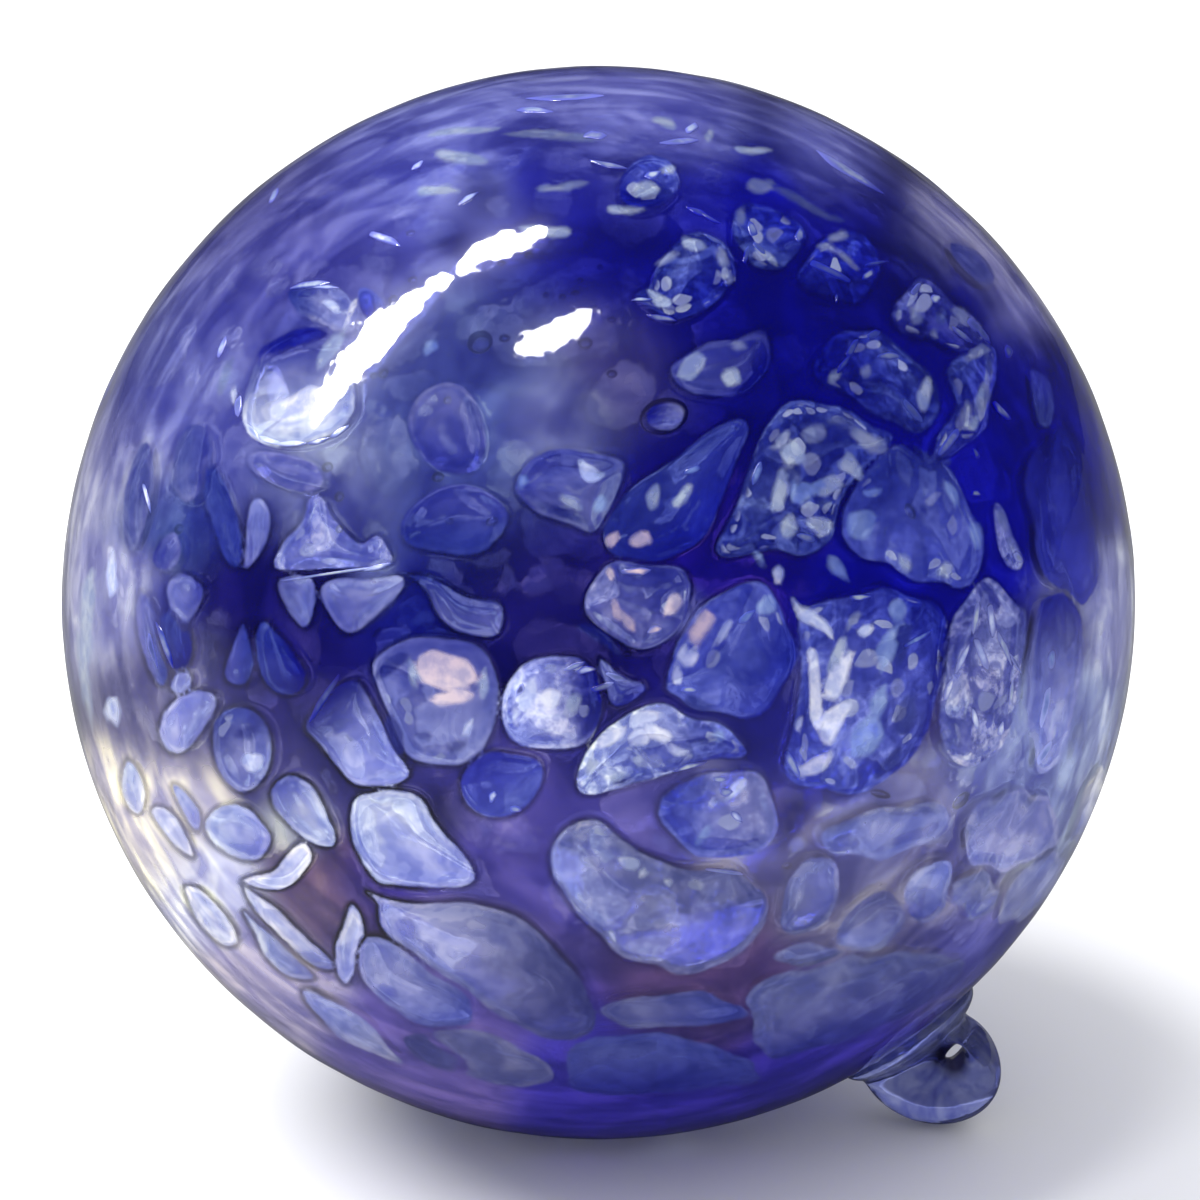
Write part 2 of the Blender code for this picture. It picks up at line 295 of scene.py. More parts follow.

# %% [markdown]
# The brightest bits are chips of pale glass that never melted in, and a few milk slivers among them are
# painted highlight. They are listed in the same way, in groups by tone: middle, half length, half width and
# turn.

# %% Pale chips on the front
CHIP_TONES = {
    "dim": (0.061, 0.079, 0.22),
    "ash": (0.208, 0.239, 0.36),
    "pale": (0.43, 0.49, 0.56),
    "milk": (0.75, 0.80, 0.92),
    "white": (1.0, 1.0, 1.0),
    "rose": (0.84, 0.64, 0.60),
    "sky": (0.21, 0.30, 0.56),
    "deep": (0.006, 0.010, 0.13),
}
CHIPS = {
    "dim": (
        (800, 199, 44, 5, -22), (698, 210, 11, 3, -20), (711, 217, 14, 2, -30), (760, 246, 8, 3, -40),
        (747, 253, 10, 3, 75), (713, 237, 12, 2, -30), (832, 270, 26, 4, -25), (877, 262, 14, 2, 10),
        (838, 297, 5, 2, 90), (917, 288, 10, 3, 50), (943, 317, 8, 7, 0), (975, 323, 10, 4, -50),
        (985, 333, 14, 3, -50), (992, 370, 12, 6, 85), (1010, 350, 8, 4, 110), (978, 453, 6, 3, 120),
        (853, 347, 12, 4, 60), (845, 363, 13, 3, 50), (875, 333, 7, 4, 20), (913, 410, 15, 4, -50),
        (843, 423, 16, 6, -15), (793, 474, 12, 7, 0), (1017, 663, 12, 2, -60), (322, 700, 30, 4, 58),
        (150, 650, 20, 3, -75),
    ),
    "ash": (
        (680, 139, 20, 3, 4), (850, 170, 45, 4, -32), (760, 185, 13, 7, -10), (610, 163, 22, 3, -12),
        (743, 213, 10, 5, 80), (753, 228, 10, 4, 110), (800, 234, 7, 4, 80), (670, 253, 17, 6, 25),
        (723, 254, 12, 7, 110), (731, 275, 7, 5, 80), (663, 317, 16, 3, -8), (838, 234, 12, 6, 20),
        (827, 247, 11, 5, -10), (848, 258, 20, 5, -40), (870, 273, 8, 4, 35), (915, 311, 13, 6, 110),
        (963, 310, 13, 6, -55), (935, 333, 7, 5, -40), (963, 333, 13, 3, -40), (980, 354, 14, 8, 10),
        (984, 396, 16, 8, 80), (967, 408, 12, 8, 70), (951, 440, 18, 4, 50), (1003, 410, 13, 4, -45),
        (977, 493, 5, 3, 0), (837, 377, 8, 6, 40), (890, 355, 12, 4, 5), (867, 369, 8, 6, 60),
        (740, 341, 10, 5, 10), (780, 445, 16, 5, 45), (813, 432, 18, 10, 20), (868, 440, 19, 10, -30),
        (807, 537, 10, 4, -20),
        (552, 133, 46, 6, -2), (223, 373, 22, 6, 70), (1005, 523, 10, 7, -60), (1015, 541, 10, 6, -60),
        (1020, 557, 6, 4, -60), (853, 616, 14, 6, 50), (727, 873, 20, 2.5, -8), (603, 687, 14, 3, 15),
        (617, 677, 12, 4, -20), (595, 133, 12, 4, 0), (560, 95, 40, 3, 2), (566, 182, 27, 5, 3),
        (163, 645, 24, 3, -70), (237, 405, 10, 4, 80),
    ),
    "pale": (
        (663, 120, 14, 6, -15), (692, 126, 7, 4, 30), (708, 133, 9, 5, 65), (752, 148, 24, 5, -6),
        (668, 170, 12, 6, 20), (647, 187, 14, 7, -20), (653, 173, 8, 4, 20), (630, 207, 26, 5, 3),
        (767, 257, 14, 5, -40), (693, 242, 12, 7, -8), (661, 297, 15, 8, -35), (643, 298, 13, 2, 3),
        (973, 418, 15, 8, 30), (927, 393, 16, 8, 85), (695, 363, 17, 11, 25), (732, 374, 13, 11, 45),
        (792, 455, 17, 11, 30), (850, 465, 19, 11, -45), (777, 495, 25, 10, 85), (829, 484, 14, 10, 20),
        (789, 527, 16, 11, 60), (823, 526, 17, 11, -40), (653, 497, 14, 8, 70), (683, 493, 16, 7, 50),
        (572, 503, 13, 7, -10), (600, 474, 9, 5, 0), (545, 232, 30, 8, 8), (462, 158, 30, 6, -8),
        (438, 188, 30, 8, 5), (690, 690, 10, 3, 0), (838, 655, 26, 8, 72), (860, 597, 12, 3, 0),
        (793, 765, 15, 4, -62), (977, 620, 16, 3, 80), (1007, 650, 22, 3, -65), (1013, 693, 14, 2, 85),
        (593, 767, 11, 8, 60), (617, 780, 12, 5, 10), (690, 767, 18, 3, 15), (572, 704, 12, 7, 70),
        (573, 667, 12, 3, 20), (937, 297, 5, 4, 0), (333, 573, 66, 1.6, 8), (908, 560, 10, 7, -20),
        (947, 570, 11, 8, 10), (727, 793, 6, 4, 0), (720, 780, 7, 3, 0), (515, 810, 6, 3, 0),
        (483, 690, 18, 5, 85), (413, 677, 14, 6, 100), (220, 347, 12, 2.5, 68), (273, 193, 10, 2.5, 60),
        (82, 680, 56, 6, -82),
        (463, 128, 38, 5, 8), (533, 108, 18, 3, -5), (252, 431, 10, 2.5, -50), (85, 620, 55, 8, 88),
        (310, 283, 20, 4, 8), (330, 350, 22, 8, 50),
    ),
    # Among the milk ones, the glint at 467, 197 and the crescent of four from 268 to 338 across under the
    # bright dome are painted highlight.
    "milk": (
        (590, 468, 14, 10, -30), (383, 237, 16, 4, -20), (323, 286, 14, 2, 0), (231, 393, 12, 5, 90),
        (777, 577, 8, 8, 0), (813, 618, 28, 6, -53), (679, 655, 13, 6, 70), (724, 630, 17, 5, 55),
        (870, 630, 10, 8, 0), (800, 727, 12, 5, 70), (993, 617, 20, 4, -85), (983, 653, 18, 4, -70),
        (963, 660, 20, 3, 65), (680, 750, 11, 7, -40), (643, 877, 7, 6, 60), (668, 882, 6, 6, 0),
        (530, 692, 17, 9, 60), (517, 713, 12, 5, 100), (377, 567, 18, 2.6, 12), (145, 497, 16, 2, -75),
        (467, 197, 14, 3, 35), (740, 783, 14, 8, 40), (713, 800, 6, 5, 60), (737, 817, 8, 4, -40),
        (630, 863, 13, 7, -40), (492, 798, 6, 4, 70), (253, 763, 16, 12, 60), (1003, 730, 10, 3, 70),
        (977, 720, 12, 3, 100), (587, 670, 10, 4, 10), (467, 730, 10, 5, 60), (417, 163, 8, 3, 30),
        (1107, 725, 40, 5, 82), (268, 440, 12, 3, -20), (292, 443, 14, 3, 0), (318, 440, 13, 3, 12),
        (338, 431, 11, 3, 35), (112, 715, 18, 8, -80), (110, 575, 27, 7, 88), (331, 310, 14, 5, -30),
    ),
    "white": (
        (350, 313, 18, 5, 65), (777, 583, 6, 5, 0), (690, 657, 10, 6, 40), (675, 678, 10, 7, 100),
        (814, 690, 44, 12, -80), (844, 672, 30, 12, 64), (836, 722, 24, 13, 70), (950, 690, 12, 3, 70),
        (610, 737, 20, 9, 40), (645, 721, 18, 8, 15), (660, 737, 20, 8, -10), (640, 741, 13, 9, 0),
        (552, 695, 15, 13, 20), (818, 762, 20, 10, 35), (300, 400, 34, 14, 20),
    ),
    "rose": (
        (640, 537, 17, 7, 35), (609, 540, 10, 8, 60), (637, 571, 14, 4, 0), (610, 577, 10, 6, 120),
        (617, 613, 12, 6, 100), (631, 623, 14, 6, -35), (674, 609, 13, 9, 60), (655, 630, 10, 4, 20),
        (700, 627, 22, 8, 52), (446, 672, 36, 20, -15), (450, 700, 24, 10, 0),
    ),
    "sky": (
        (863, 527, 19, 15, 80), (873, 490, 9, 5, 0), (953, 500, 16, 7, -60), (977, 533, 14, 6, 100),
        (803, 488, 16, 11, 40), (820, 483, 14, 8, 0), (757, 473, 14, 4, 70), (693, 470, 10, 4, 20),
        (890, 647, 30, 9, 68), (900, 607, 13, 9, 75), (917, 640, 18, 3, 30), (866, 735, 26, 14, 45),
        (880, 700, 22, 10, 70), (767, 607, 13, 9, 30), (747, 617, 12, 4, 40), (717, 741, 9, 7, 60),
        (430, 343, 10, 7, 60), (523, 480, 8, 5, 90), (600, 505, 8, 10, 0), (707, 833, 18, 5, 55),
        (1047, 707, 22, 4, 75), (1047, 753, 14, 4, 60), (1053, 660, 10, 4, 90), (840, 570, 14, 7, -50),
        (760, 565, 14, 5, -60),
    ),
    "deep": (
        (388, 667, 24, 9, 42), (424, 735, 11, 6, -10), (455, 747, 12, 7, 10), (590, 712, 26, 8, 75),
        (395, 735, 9, 20, 20), (245, 732, 14, 7, 20), (700, 700, 24, 9, -30), (903, 640, 26, 12, 75),
        (905, 715, 24, 12, 70), (890, 765, 22, 8, 50), (600, 640, 26, 6, -30), (560, 515, 26, 7, -10),
        (935, 455, 22, 6, -35), (520, 690, 8, 4, 60), (625, 785, 14, 5, 20), (700, 745, 16, 5, -25),
    ),
}
print(sum(len(group) for group in CHIPS.values()), "chips on the front")

# %% [markdown]
# A point of the ball finds its place in the picture as the camera does it: the further a point is from the
# camera, the nearer to the middle it shows. The way back, from a picture place to a direction on the ball, is
# one line of trigonometry, and the chips and lamps need it.

# %% Between the picture and the ball
PIXELS_PER_METRE = PHOTO_BALL_RADIUS / BALL_RADIUS
PIXELS_PER_MILLIMETRE = PIXELS_PER_METRE * MILLIMETRE
FRONT_LIMIT = 0.17
ALMOST_THE_EDGE = 0.9999


def in_picture(normals):
    """Picture places, in pixels right of and below its corner, for outward directions on the ball."""
    depth = CAMERA_DISTANCE - BALL_RADIUS * (normals @ np.array(toward_camera))
    scale = BALL_RADIUS * PHOTO_BALL_RADIUS / math.tan(edge_angle) / depth
    right = PHOTO_BALL_MIDDLE[0] + normals @ np.array(picture_right) * scale
    down = PHOTO_BALL_MIDDLE[1] - normals @ np.array(picture_up) * scale
    return np.column_stack((right, down))


def on_ball(x, y):
    """The outward direction on the ball of a picture place."""
    right = (x - PHOTO_BALL_MIDDLE[0]) / PHOTO_BALL_RADIUS
    up = (PHOTO_BALL_MIDDLE[1] - y) / PHOTO_BALL_RADIUS
    far = min(math.hypot(right, up), ALMOST_THE_EDGE)
    view_angle = math.atan(far * math.tan(edge_angle))
    turn = math.asin(math.sin(view_angle) * CAMERA_DISTANCE / BALL_RADIUS) - view_angle
    sideways = (picture_right * right + picture_up * up).normalized() if far > 0 else picture_up
    return toward_camera * math.cos(turn) + sideways * math.sin(turn)


def turned(x, y, along, across, tilt):
    """Picture places of points along and across a shape at x, y that is turned anticlockwise by degrees."""
    tilt = math.radians(tilt)
    right = along * math.cos(tilt) - across * math.sin(tilt)
    up = along * math.sin(tilt) + across * math.cos(tilt)
    return np.column_stack((x + right, y - up))


def oval(x, y, half_length, half_width, tilt, sides=20):
    """Corners of an oval in the picture."""
    turns = np.linspace(0, 2 * math.pi, sides, endpoint=False)
    return turned(x, y, half_length * np.cos(turns), half_width * np.sin(turns), tilt)


def rounded(corners, steps=4):
    """A closed outline that passes smoothly through its corners."""
    before, after, later = (np.roll(corners, shift, axis=0) for shift in (1, -1, -2))
    rows = []
    for t in np.arange(steps) / steps:
        rows.append(0.5 * (2 * corners + (after - before) * t
                           + (2 * before - 5 * corners + 4 * after - later) * t**2
                           + (3 * corners - before - 3 * after + later) * t**3))
    return np.stack(rows, axis=1).reshape(-1, 2)


def outline_of(numbers):
    """The outline that a table entry describes."""
    if len(numbers) == 5:
        return oval(*numbers)
    return rounded(np.array(numbers, float).reshape(-1, 2))


def depth_inside(places, outline):
    """How far each place is inside an outline, and less than zero outside it."""
    nearest = np.full(len(places), np.inf)
    inside = np.zeros(len(places), bool)
    for start, end in zip(outline, np.roll(outline, -1, axis=0)):
        side, offset = end - start, places - start
        share = np.clip(offset @ side / (side @ side), 0, 1)
        nearest = np.minimum(nearest, ((offset - share[:, None] * side) ** 2).sum(1))
        if start[1] != end[1]:
            spans = (start[1] > places[:, 1]) != (end[1] > places[:, 1])
            inside ^= spans & (offset[:, 0] < offset[:, 1] * side[0] / side[1])
    return np.where(inside, 1, -1) * np.sqrt(nearest)


# %% [markdown]
# The photograph shows one side only. On the others pebbles are scattered by a seeded generator, the large
# ones first: a place is kept if no earlier pebble is too close, and small ones then fill some of the gaps.
# Each lies flat in its own tangent plane and is sized in metres.

# %% Pebbles on the sides and the back
SCATTER_SEED = 7
SCATTER_SIZES = ((0.0092, 24), (0.0066, 110), (0.0046, 420), (0.0031, 900), (0.0020, 500))
SCATTER_GAP = 0.80
SCATTER_OVERLAP = 0.03
SCATTER_LENGTHS = (0.85, 1.15)
SCATTER_WIDTHS = (0.50, 0.85)
MOST_SPARKLE, SPARKLE_RARITY = 0.45, 1.5
SCATTER_TINTS = (
    ("slate", "cobalt"), ("sky", "cobalt"), ("haze", "royal"), ("lavender", "steel"), ("mist", "navy"),
    ("haze", "denim"), ("pale", "steel"), ("sky", "royal"), ("lilac", "dusk"),
)

random = np.random.default_rng(SCATTER_SEED)


def scattered_pebbles():
    """A list of (middle, along, half length, half width, lit tint, shaded tint, side of the painted shade,
    sparkle) off the front.
    """
    kept = []
    for size, tries in SCATTER_SIZES:
        for direction in random.normal(size=(tries, 3)):
            middle = Vector(direction).normalized()
            if middle.dot(toward_camera) > FRONT_LIMIT - SCATTER_OVERLAP:
                continue
            if any((middle - other[0]).length * BALL_RADIUS < SCATTER_GAP * (size + other[2])
                   for other in kept):
                continue
            along = middle.cross(Vector(random.normal(size=3))).normalized()
            half_length = size * random.uniform(*SCATTER_LENGTHS)
            half_width = half_length * random.uniform(*SCATTER_WIDTHS)
            tints = SCATTER_TINTS[random.integers(len(SCATTER_TINTS))]
            kept.append((middle, along, half_length, half_width, *tints,
                         random.uniform(0, 360), random.uniform(0, MOST_SPARKLE)**SPARKLE_RARITY))
    return kept


BACK_PEBBLES = scattered_pebbles()
print(len(BACK_PEBBLES), "pebbles on the sides and the back")

# %% [markdown]
# Blown glass has no straight edge, so the points are pushed about a little before they are measured. A few
# slow sine waves in random directions do this smoothly and cost far less than true noise.

# %% A slow wobble
WOBBLE_LENGTHS = (0.005, 0.014)
WOBBLE_REACH = 0.00032
WOBBLE_WAVES = 6

waves = [(random.uniform(*WOBBLE_LENGTHS), *random.normal(size=(2, 3)), random.uniform(0, 2 * math.pi))
         for _ in range(WOBBLE_WAVES)]


def wave_heights(normals):
    """One row of values between -1 and 1 for each wave."""
    rows = []
    for length, way, _, start in waves:
        way = way / np.linalg.norm(way)
        rows.append(np.sin(normals @ way * BALL_RADIUS * 2 * math.pi / length + start))
    return np.array(rows)


def wobbled(normals):
    """The same directions, each pushed sideways by less than about half a millimetre on the ball."""
    shoves = np.array([shove for _, _, shove, _ in waves])
    moved = normals + wave_heights(normals).T @ shoves * WOBBLE_REACH / BALL_RADIUS / math.sqrt(WOBBLE_WAVES)
    return moved / np.linalg.norm(moved, axis=1)[:, None]


# %% [markdown]
# The veins change with the place: ink blue at the upper right and indigo in the middle. Low down and at the
# edge they are paler, greyer and browner, and there the washes carry painted light: cream, white and mauve at
# the lower left are painted light from the bright floor seen through the thin wall, rust, rose and taupe low
# down are painted reflection of the surroundings, and fog, pearl, lilac and pale lilac at the edge are painted
# reflection. Soft washes of named colours say so. Each wash has a middle and a spread in picture pixels, and
# how dark a painted shadow line it draws round the pebbles that lie in it. Even the deepest cobalt lets a trace
# of red and green through.

# %% Washes of colour between the pebbles
TRACE = 0.00005
WASHES = {
    "coal": ((TRACE, TRACE, 0.011), ((440, 825, 30, 1.0),)),
    "soot": ((0.0004, 0.0003, 0.028), ((230, 645, 28, 0.2),)),
    "night": ((TRACE, TRACE, 0.048), ((920, 245, 50, 0.2), (482, 192, 30, 0.1))),
    "ink": ((TRACE, TRACE, 0.085), ((580, 752, 35, 0.6), (640, 195, 40, 0.1), (455, 228, 28, 0.1))),
    "indigo": ((TRACE, TRACE, 0.104), (
        (820, 330, 230, 0.3), (585, 175, 36, 0.1), (785, 750, 45, 0.3), (975, 300, 32, 0.2))),
    "midnight": ((TRACE, TRACE, 0.155), ((600, 185, 110, 0.1), (760, 160, 25, 0.2), (1020, 350, 32, 0.2))),
    "cobalt": ((TRACE, TRACE, 0.185), (
        (930, 600, 90, 0.5), (850, 215, 50, 0.2), (530, 168, 30, 0.1), (370, 880, 40, 1.0))),
    "royal": ((TRACE, TRACE, 0.20), ((1010, 420, 140, 0.2), (1090, 400, 60, 0.1))),
    "azure": ((TRACE, TRACE, 0.275), ((690, 200, 45, 0.2),)),
    "electric": ((0.0005, 0.0007, 0.41), ((765, 205, 45, 0.2),)),
    "plum ink": ((0.005, 0.003, 0.073), (
        (545, 590, 110, 0.5), (475, 790, 35, 0.7), (1070, 620, 30, 0.2), (300, 640, 110, 0.6))),
    "violet ink": ((0.005, 0.001, 0.16), ((700, 540, 80, 0.7),)),
    "blue ink": ((0.001, 0.003, 0.116), ((400, 620, 70, 0.6),)),
    "steel ink": ((0.003, 0.007, 0.15), ((160, 610, 32, 0.2), (860, 790, 35, 0.1))),
    "navy": ((0.007, 0.013, 0.186), ((300, 335, 35, 0.1),)),
    "plum": ((0.024, 0.014, 0.115), ((785, 815, 30, 0.2), (930, 720, 30, 0.2))),
    "shade": ((0.035, 0.030, 0.12), ((330, 770, 60, 1.0), (620, 380, 60, 0.2))),
    "denim": ((0.03, 0.05, 0.22), ((160, 510, 50, 0.2),)),
    "slate": ((0.053, 0.072, 0.23), ((440, 430, 120, 0.1),)),
    # Rust and rose are painted reflection of the brown surroundings.
    "rust": ((0.108, 0.055, 0.093), ((330, 890, 60, 1.0),)),
    "rose": ((0.08, 0.039, 0.172), ((740, 975, 60, 0.1), (680, 990, 60, 0.2))),
    "umber": ((0.077, 0.07, 0.16), ((160, 690, 70, 0.6),)),
    "violet": ((0.081, 0.06, 0.29), ((520, 860, 90, 0.6),)),
    "smoke": ((0.08, 0.08, 0.30), ((250, 230, 150, 0.0), (685, 615, 18, 0.3))),
    "grey haze": ((0.125, 0.14, 0.28), ((340, 470, 70, 0.2),)),
    "haze": ((0.123, 0.133, 0.37), ((180, 370, 110, 0.1),)),
    "blue haze": ((0.127, 0.139, 0.47), ((420, 130, 110, 0.0),)),
    "pale haze": ((0.17, 0.18, 0.55), ((640, 85, 100, 0.0), (840, 130, 60, 0.1))),
    "ultramarine": ((0.037, 0.023, 0.467), ((620, 1115, 90, 0.1), (850, 1070, 90, 0.1))),
    "violet haze": ((0.121, 0.084, 0.41), ((420, 1080, 80, 0.1),)),
    "violet blue": ((0.082, 0.083, 0.50), ((980, 960, 60, 0.1),)),
    # Taupe at the lower right is painted reflection of the floor.
    "taupe": ((0.207, 0.19, 0.317), ((900, 870, 120, 0.0),)),
    "grey mist": ((0.20, 0.22, 0.37), ((560, 425, 50, 0.2),)),
    "mist": ((0.26, 0.31, 0.56), ((1040, 780, 90, 0.0), (370, 578, 25, 0.2))),
    # Fog at the left edge is painted reflection.
    "fog": ((0.285, 0.287, 0.47), ((90, 600, 60, 0.2), (110, 460, 60, 0.2))),
    "ash": ((0.31, 0.32, 0.345), ((300, 825, 30, 0.7),)),
    # Lilac and pale lilac at the upper right edge are painted reflection.
    "lilac": ((0.32, 0.31, 0.65), ((960, 210, 50, 0.1), (1000, 262, 30, 0.0))),
    "pale lilac": ((0.377, 0.369, 0.754), ((1035, 300, 40, 0.0),)),
    # Mauve, cream and white at the lower left are painted light from the bright floor seen through the thin
    # wall, and pearl at the right edge is painted reflection.
    "mauve": ((0.40, 0.35, 0.55), ((250, 990, 70, 0.7),)),
    "pearl": ((0.41, 0.43, 0.67), ((1115, 600, 50, 0.1),)),
    "cream": ((0.92, 0.835, 0.733), ((130, 830, 70, 0.6),)),
    "white": ((1.0, 1.0, 1.0), ((200, 900, 50, 0.8),)),
}
BACK_VEIN = (0.002, 0.003, 0.160, 0.4)
BACK_WEIGHT = 0.002
WASH_SHARPNESS = 2.0


def vein_colours(normals):
    """The colour of the veins at each direction, with painted light and reflection near the edge, and how dark
    a painted shadow they draw round pebbles, from the washes.
    """
    places = in_picture(normals)
    facing = np.clip(normals @ np.array(toward_camera) / FRONT_LIMIT, 0, 1)
    total = np.full(len(normals), BACK_WEIGHT)
    colour = np.outer(total, BACK_VEIN)
    for wash, spots in WASHES.values():
        for x, y, spread, painted_shadow_line in spots:
            weight = np.exp(-WASH_SHARPNESS * ((places - (x, y)) ** 2).sum(1) / spread**2) * facing
            total += weight
            colour += np.outer(weight, (*wash, painted_shadow_line))
    return colour / total[:, None]


# %% [markdown]
# Chips are broken glass, so each is an uneven shape with a few rounded corners on its oval. Wide chips lie
# under the skin and are measured with the pebbles. Slivers are thinner than the mesh's triangles and become
# flakes of their own later on.

# %% Shapes of the chips
CHIP_CORNERS = (5, 8)
CHIP_SIDE_STEPS = 4
CHIP_JITTER = 0.32
CHIP_SPREAD = (0.85, 1.25)
SLIVER = 4.5
MOST_BACK_CHIPS = 3
BACK_CHIP_PLACE = 0.55
BACK_CHIP_SIZES = (0.9, 2.2)
BACK_CHIP_WIDTHS = (0.35, 0.8)
BACK_CHIP_TONES = ("dim", "ash", "pale", "sky")


def shard(x, y, half_length, half_width, tilt):
    """An uneven shape with a few rounded corners on an oval."""
    count = random.integers(*CHIP_CORNERS)
    turns = (np.arange(count) + random.uniform(-CHIP_JITTER, CHIP_JITTER, count)) * 2 * math.pi / count
    spread = random.uniform(*CHIP_SPREAD, count)
    corners = np.column_stack((half_length * np.cos(turns) * spread, half_width * np.sin(turns) * spread))
    steps = np.arange(CHIP_SIDE_STEPS)[:, None] / CHIP_SIDE_STEPS
    sides = zip(corners, np.roll(corners, -1, axis=0))
    points = np.concatenate([start * (1 - steps) + end * steps for start, end in sides])
    points = (np.roll(points, 1, axis=0) + points * 2 + np.roll(points, -1, axis=0)) / 4
    return turned(x, y, points[:, 0], points[:, 1], tilt)


wide_chips, slivers = [], []
for tone, group in CHIPS.items():
    for numbers in group:
        (slivers if numbers[3] < SLIVER else wide_chips).append((tone, shard(*numbers)))
back_chips = []
for middle, along, half_length, half_width, *_ in BACK_PEBBLES:
    group = []
    for _ in range(random.integers(0, MOST_BACK_CHIPS + 1)):
        x, y = random.uniform(-BACK_CHIP_PLACE, BACK_CHIP_PLACE, 2) * (half_length, half_width) / MILLIMETRE
        size = random.uniform(*BACK_CHIP_SIZES)
        numbers = (x, y, size, size * random.uniform(*BACK_CHIP_WIDTHS), random.uniform(0, 180))
        tone = BACK_CHIP_TONES[random.integers(len(BACK_CHIP_TONES))]
        group.append((tone, shard(*numbers)))
    back_chips.append(group)
print(len(wide_chips), "wide chips and", len(slivers), "slivers on the front")
print(sum(len(group) for group in back_chips), "chips on the back")

# %% [markdown]
# Now the points can be measured. Each pebble claims the points that lie deeper in it than in any other, and
# halfway between two pebbles there is always some vein. For each point this keeps how deep it is, the mix of
# the pebble's lit and shaded tints, which is painted shade, its sparkle, how thick the pebble is there as a
# lens, and its place on the pebble, which the finish uses to draw crackle that follows each pebble.

# %% Measuring the pebbles
HALF_VEIN = 0.17
LEAST_DEPTH = 0.3
PEBBLE_MARGIN, CHIP_MARGIN = 60, 14
LENS_SHARE, LENS_HEIGHT, LENS_CROWDING = 0.12, 0.6, 0.8
NOWHERE = -30.0
PAINTED_SHADE_AT_MIDDLE, PAINTED_SHADE_SLOPE = 0.45, 0.62
FACET_STEP = 40.0
EGG_SHARE, EGG_BLUNTNESS = 0.28, 2.6
SCATTER_REACH = 0.4


def measured(directions):
    """A dictionary of arrays over the points: edge and lens in millimetres, tint, sparkle and facet."""
    normals = wobbled(directions)
    places = in_picture(normals)
    count = len(normals)
    first, second = np.full(count, NOWHERE), np.full(count, NOWHERE)
    lens, sparkle = np.zeros(count), np.zeros(count)
    tint, facet = np.zeros((count, 3)), np.zeros((count, 3))
    chip, chip_tone = np.full(count, NOWHERE), np.ones((count, 3))

    def claim(number, here, depth, local, light, dark, painted_shade_side, glitter):
        if not len(here):
            return
        half = max(depth.max(), LEAST_DEPTH)
        inward = np.clip(depth / half, 0, 1)
        rise = min(LENS_SHARE * half, LENS_HEIGHT) * (1 - (1 - inward) ** 2)
        lens[here] = np.maximum(lens[here], rise)
        wins = depth > first[here]
        mine, other = here[wins], here[~wins]
        second[other] = np.maximum(second[other], depth[~wins])
        second[mine], first[mine] = first[mine], depth[wins]
        # Painted shade: across the pebble its tint runs from the lit tint to the shaded tint.
        way = np.array((math.cos(math.radians(painted_shade_side)), math.sin(math.radians(painted_shade_side))))
        side = local @ way
        side = side / max(abs(side[depth > 0]).max(initial=half), half)
        share = np.clip(PAINTED_SHADE_AT_MIDDLE + PAINTED_SHADE_SLOPE * side[wins], 0, 1)[:, None]
        share = share * share * (3 - 2 * share)
        tint[mine] = np.array(TINTS[light]) * (1 - share) + np.array(TINTS[dark]) * share
        sparkle[mine] = glitter
        crowded = local[wins] * (1 + LENS_CROWDING * (1 - inward[wins, None]) ** 2)
        facet[mine, 0], facet[mine, 1] = crowded[:, 0] + FACET_STEP * number, crowded[:, 1]

    front = np.flatnonzero(normals @ np.array(toward_camera) > FRONT_LIMIT / 2)

    def near(outline, margin):
        low, high = outline.min(axis=0) - margin, outline.max(axis=0) + margin
        here = front[((places[front] > low) & (places[front] < high)).all(axis=1)]
        return here, depth_inside(places[here], outline) / PIXELS_PER_MILLIMETRE

    for number, (light, dark, painted_shade_side, glitter, numbers) in enumerate(PEBBLES.values()):
        outline = outline_of(numbers)
        here, depth = near(outline, PEBBLE_MARGIN)
        local = (places[here] - outline.mean(axis=0)) * (1, -1) / PIXELS_PER_MILLIMETRE
        claim(number, here, depth, local, light, dark, painted_shade_side, glitter)

    def claim_chip(here, depth, tone):
        wins = depth > chip[here]
        chip[here[wins]] = depth[wins]
        chip_tone[here[wins]] = CHIP_TONES[tone]

    for tone, outline in wide_chips:
        claim_chip(*near(outline, CHIP_MARGIN), tone)

    for number, (middle, along, half_length, half_width, *look) in enumerate(BACK_PEBBLES):
        here = np.flatnonzero(normals @ np.array(middle) > math.cos(SCATTER_REACH))
        offset = (normals[here] - np.array(middle)) * BALL_RADIUS
        local = np.column_stack((offset @ np.array(along), offset @ np.array(middle.cross(along))))
        egg = 1 + EGG_SHARE * local[:, 0] / half_length
        lengthwise = (local[:, 0] / half_length) ** 2
        widthwise = abs(local[:, 1] * egg / half_width) ** EGG_BLUNTNESS
        depth = (1 - np.sqrt(lengthwise + widthwise)) * half_width / MILLIMETRE
        claim(len(PEBBLES) + number, here, depth, local / MILLIMETRE, *look)
        for tone, outline in back_chips[number]:
            claim_chip(here, depth_inside(local / MILLIMETRE, outline), tone)

    edge = np.minimum(first, (first - second) / 2 - HALF_VEIN)
    veins = vein_colours(normals)
    return {"edge": edge, "lens": lens, "tint": tint, "sparkle": sparkle, "facet": facet,
            "vein": veins[:, :3], "painted_shadow_line": veins[:, 3], "chip": chip, "chip_tone": chip_tone}


# %% [markdown]
# The ball is two skins, because light bends at both sides of the wall. Both start as an icosphere, whose
# triangles are all nearly the same size, and the side towards the camera is divided once more.

# %% Moving between bmesh, mesh data and arrays
def finished_mesh(name, mesh):
    """Smooth mesh data made from a bmesh, which is freed."""
    data = bpy.data.meshes.new(name)
    mesh.to_mesh(data)
    mesh.free()
    data.shade_smooth()
    return data


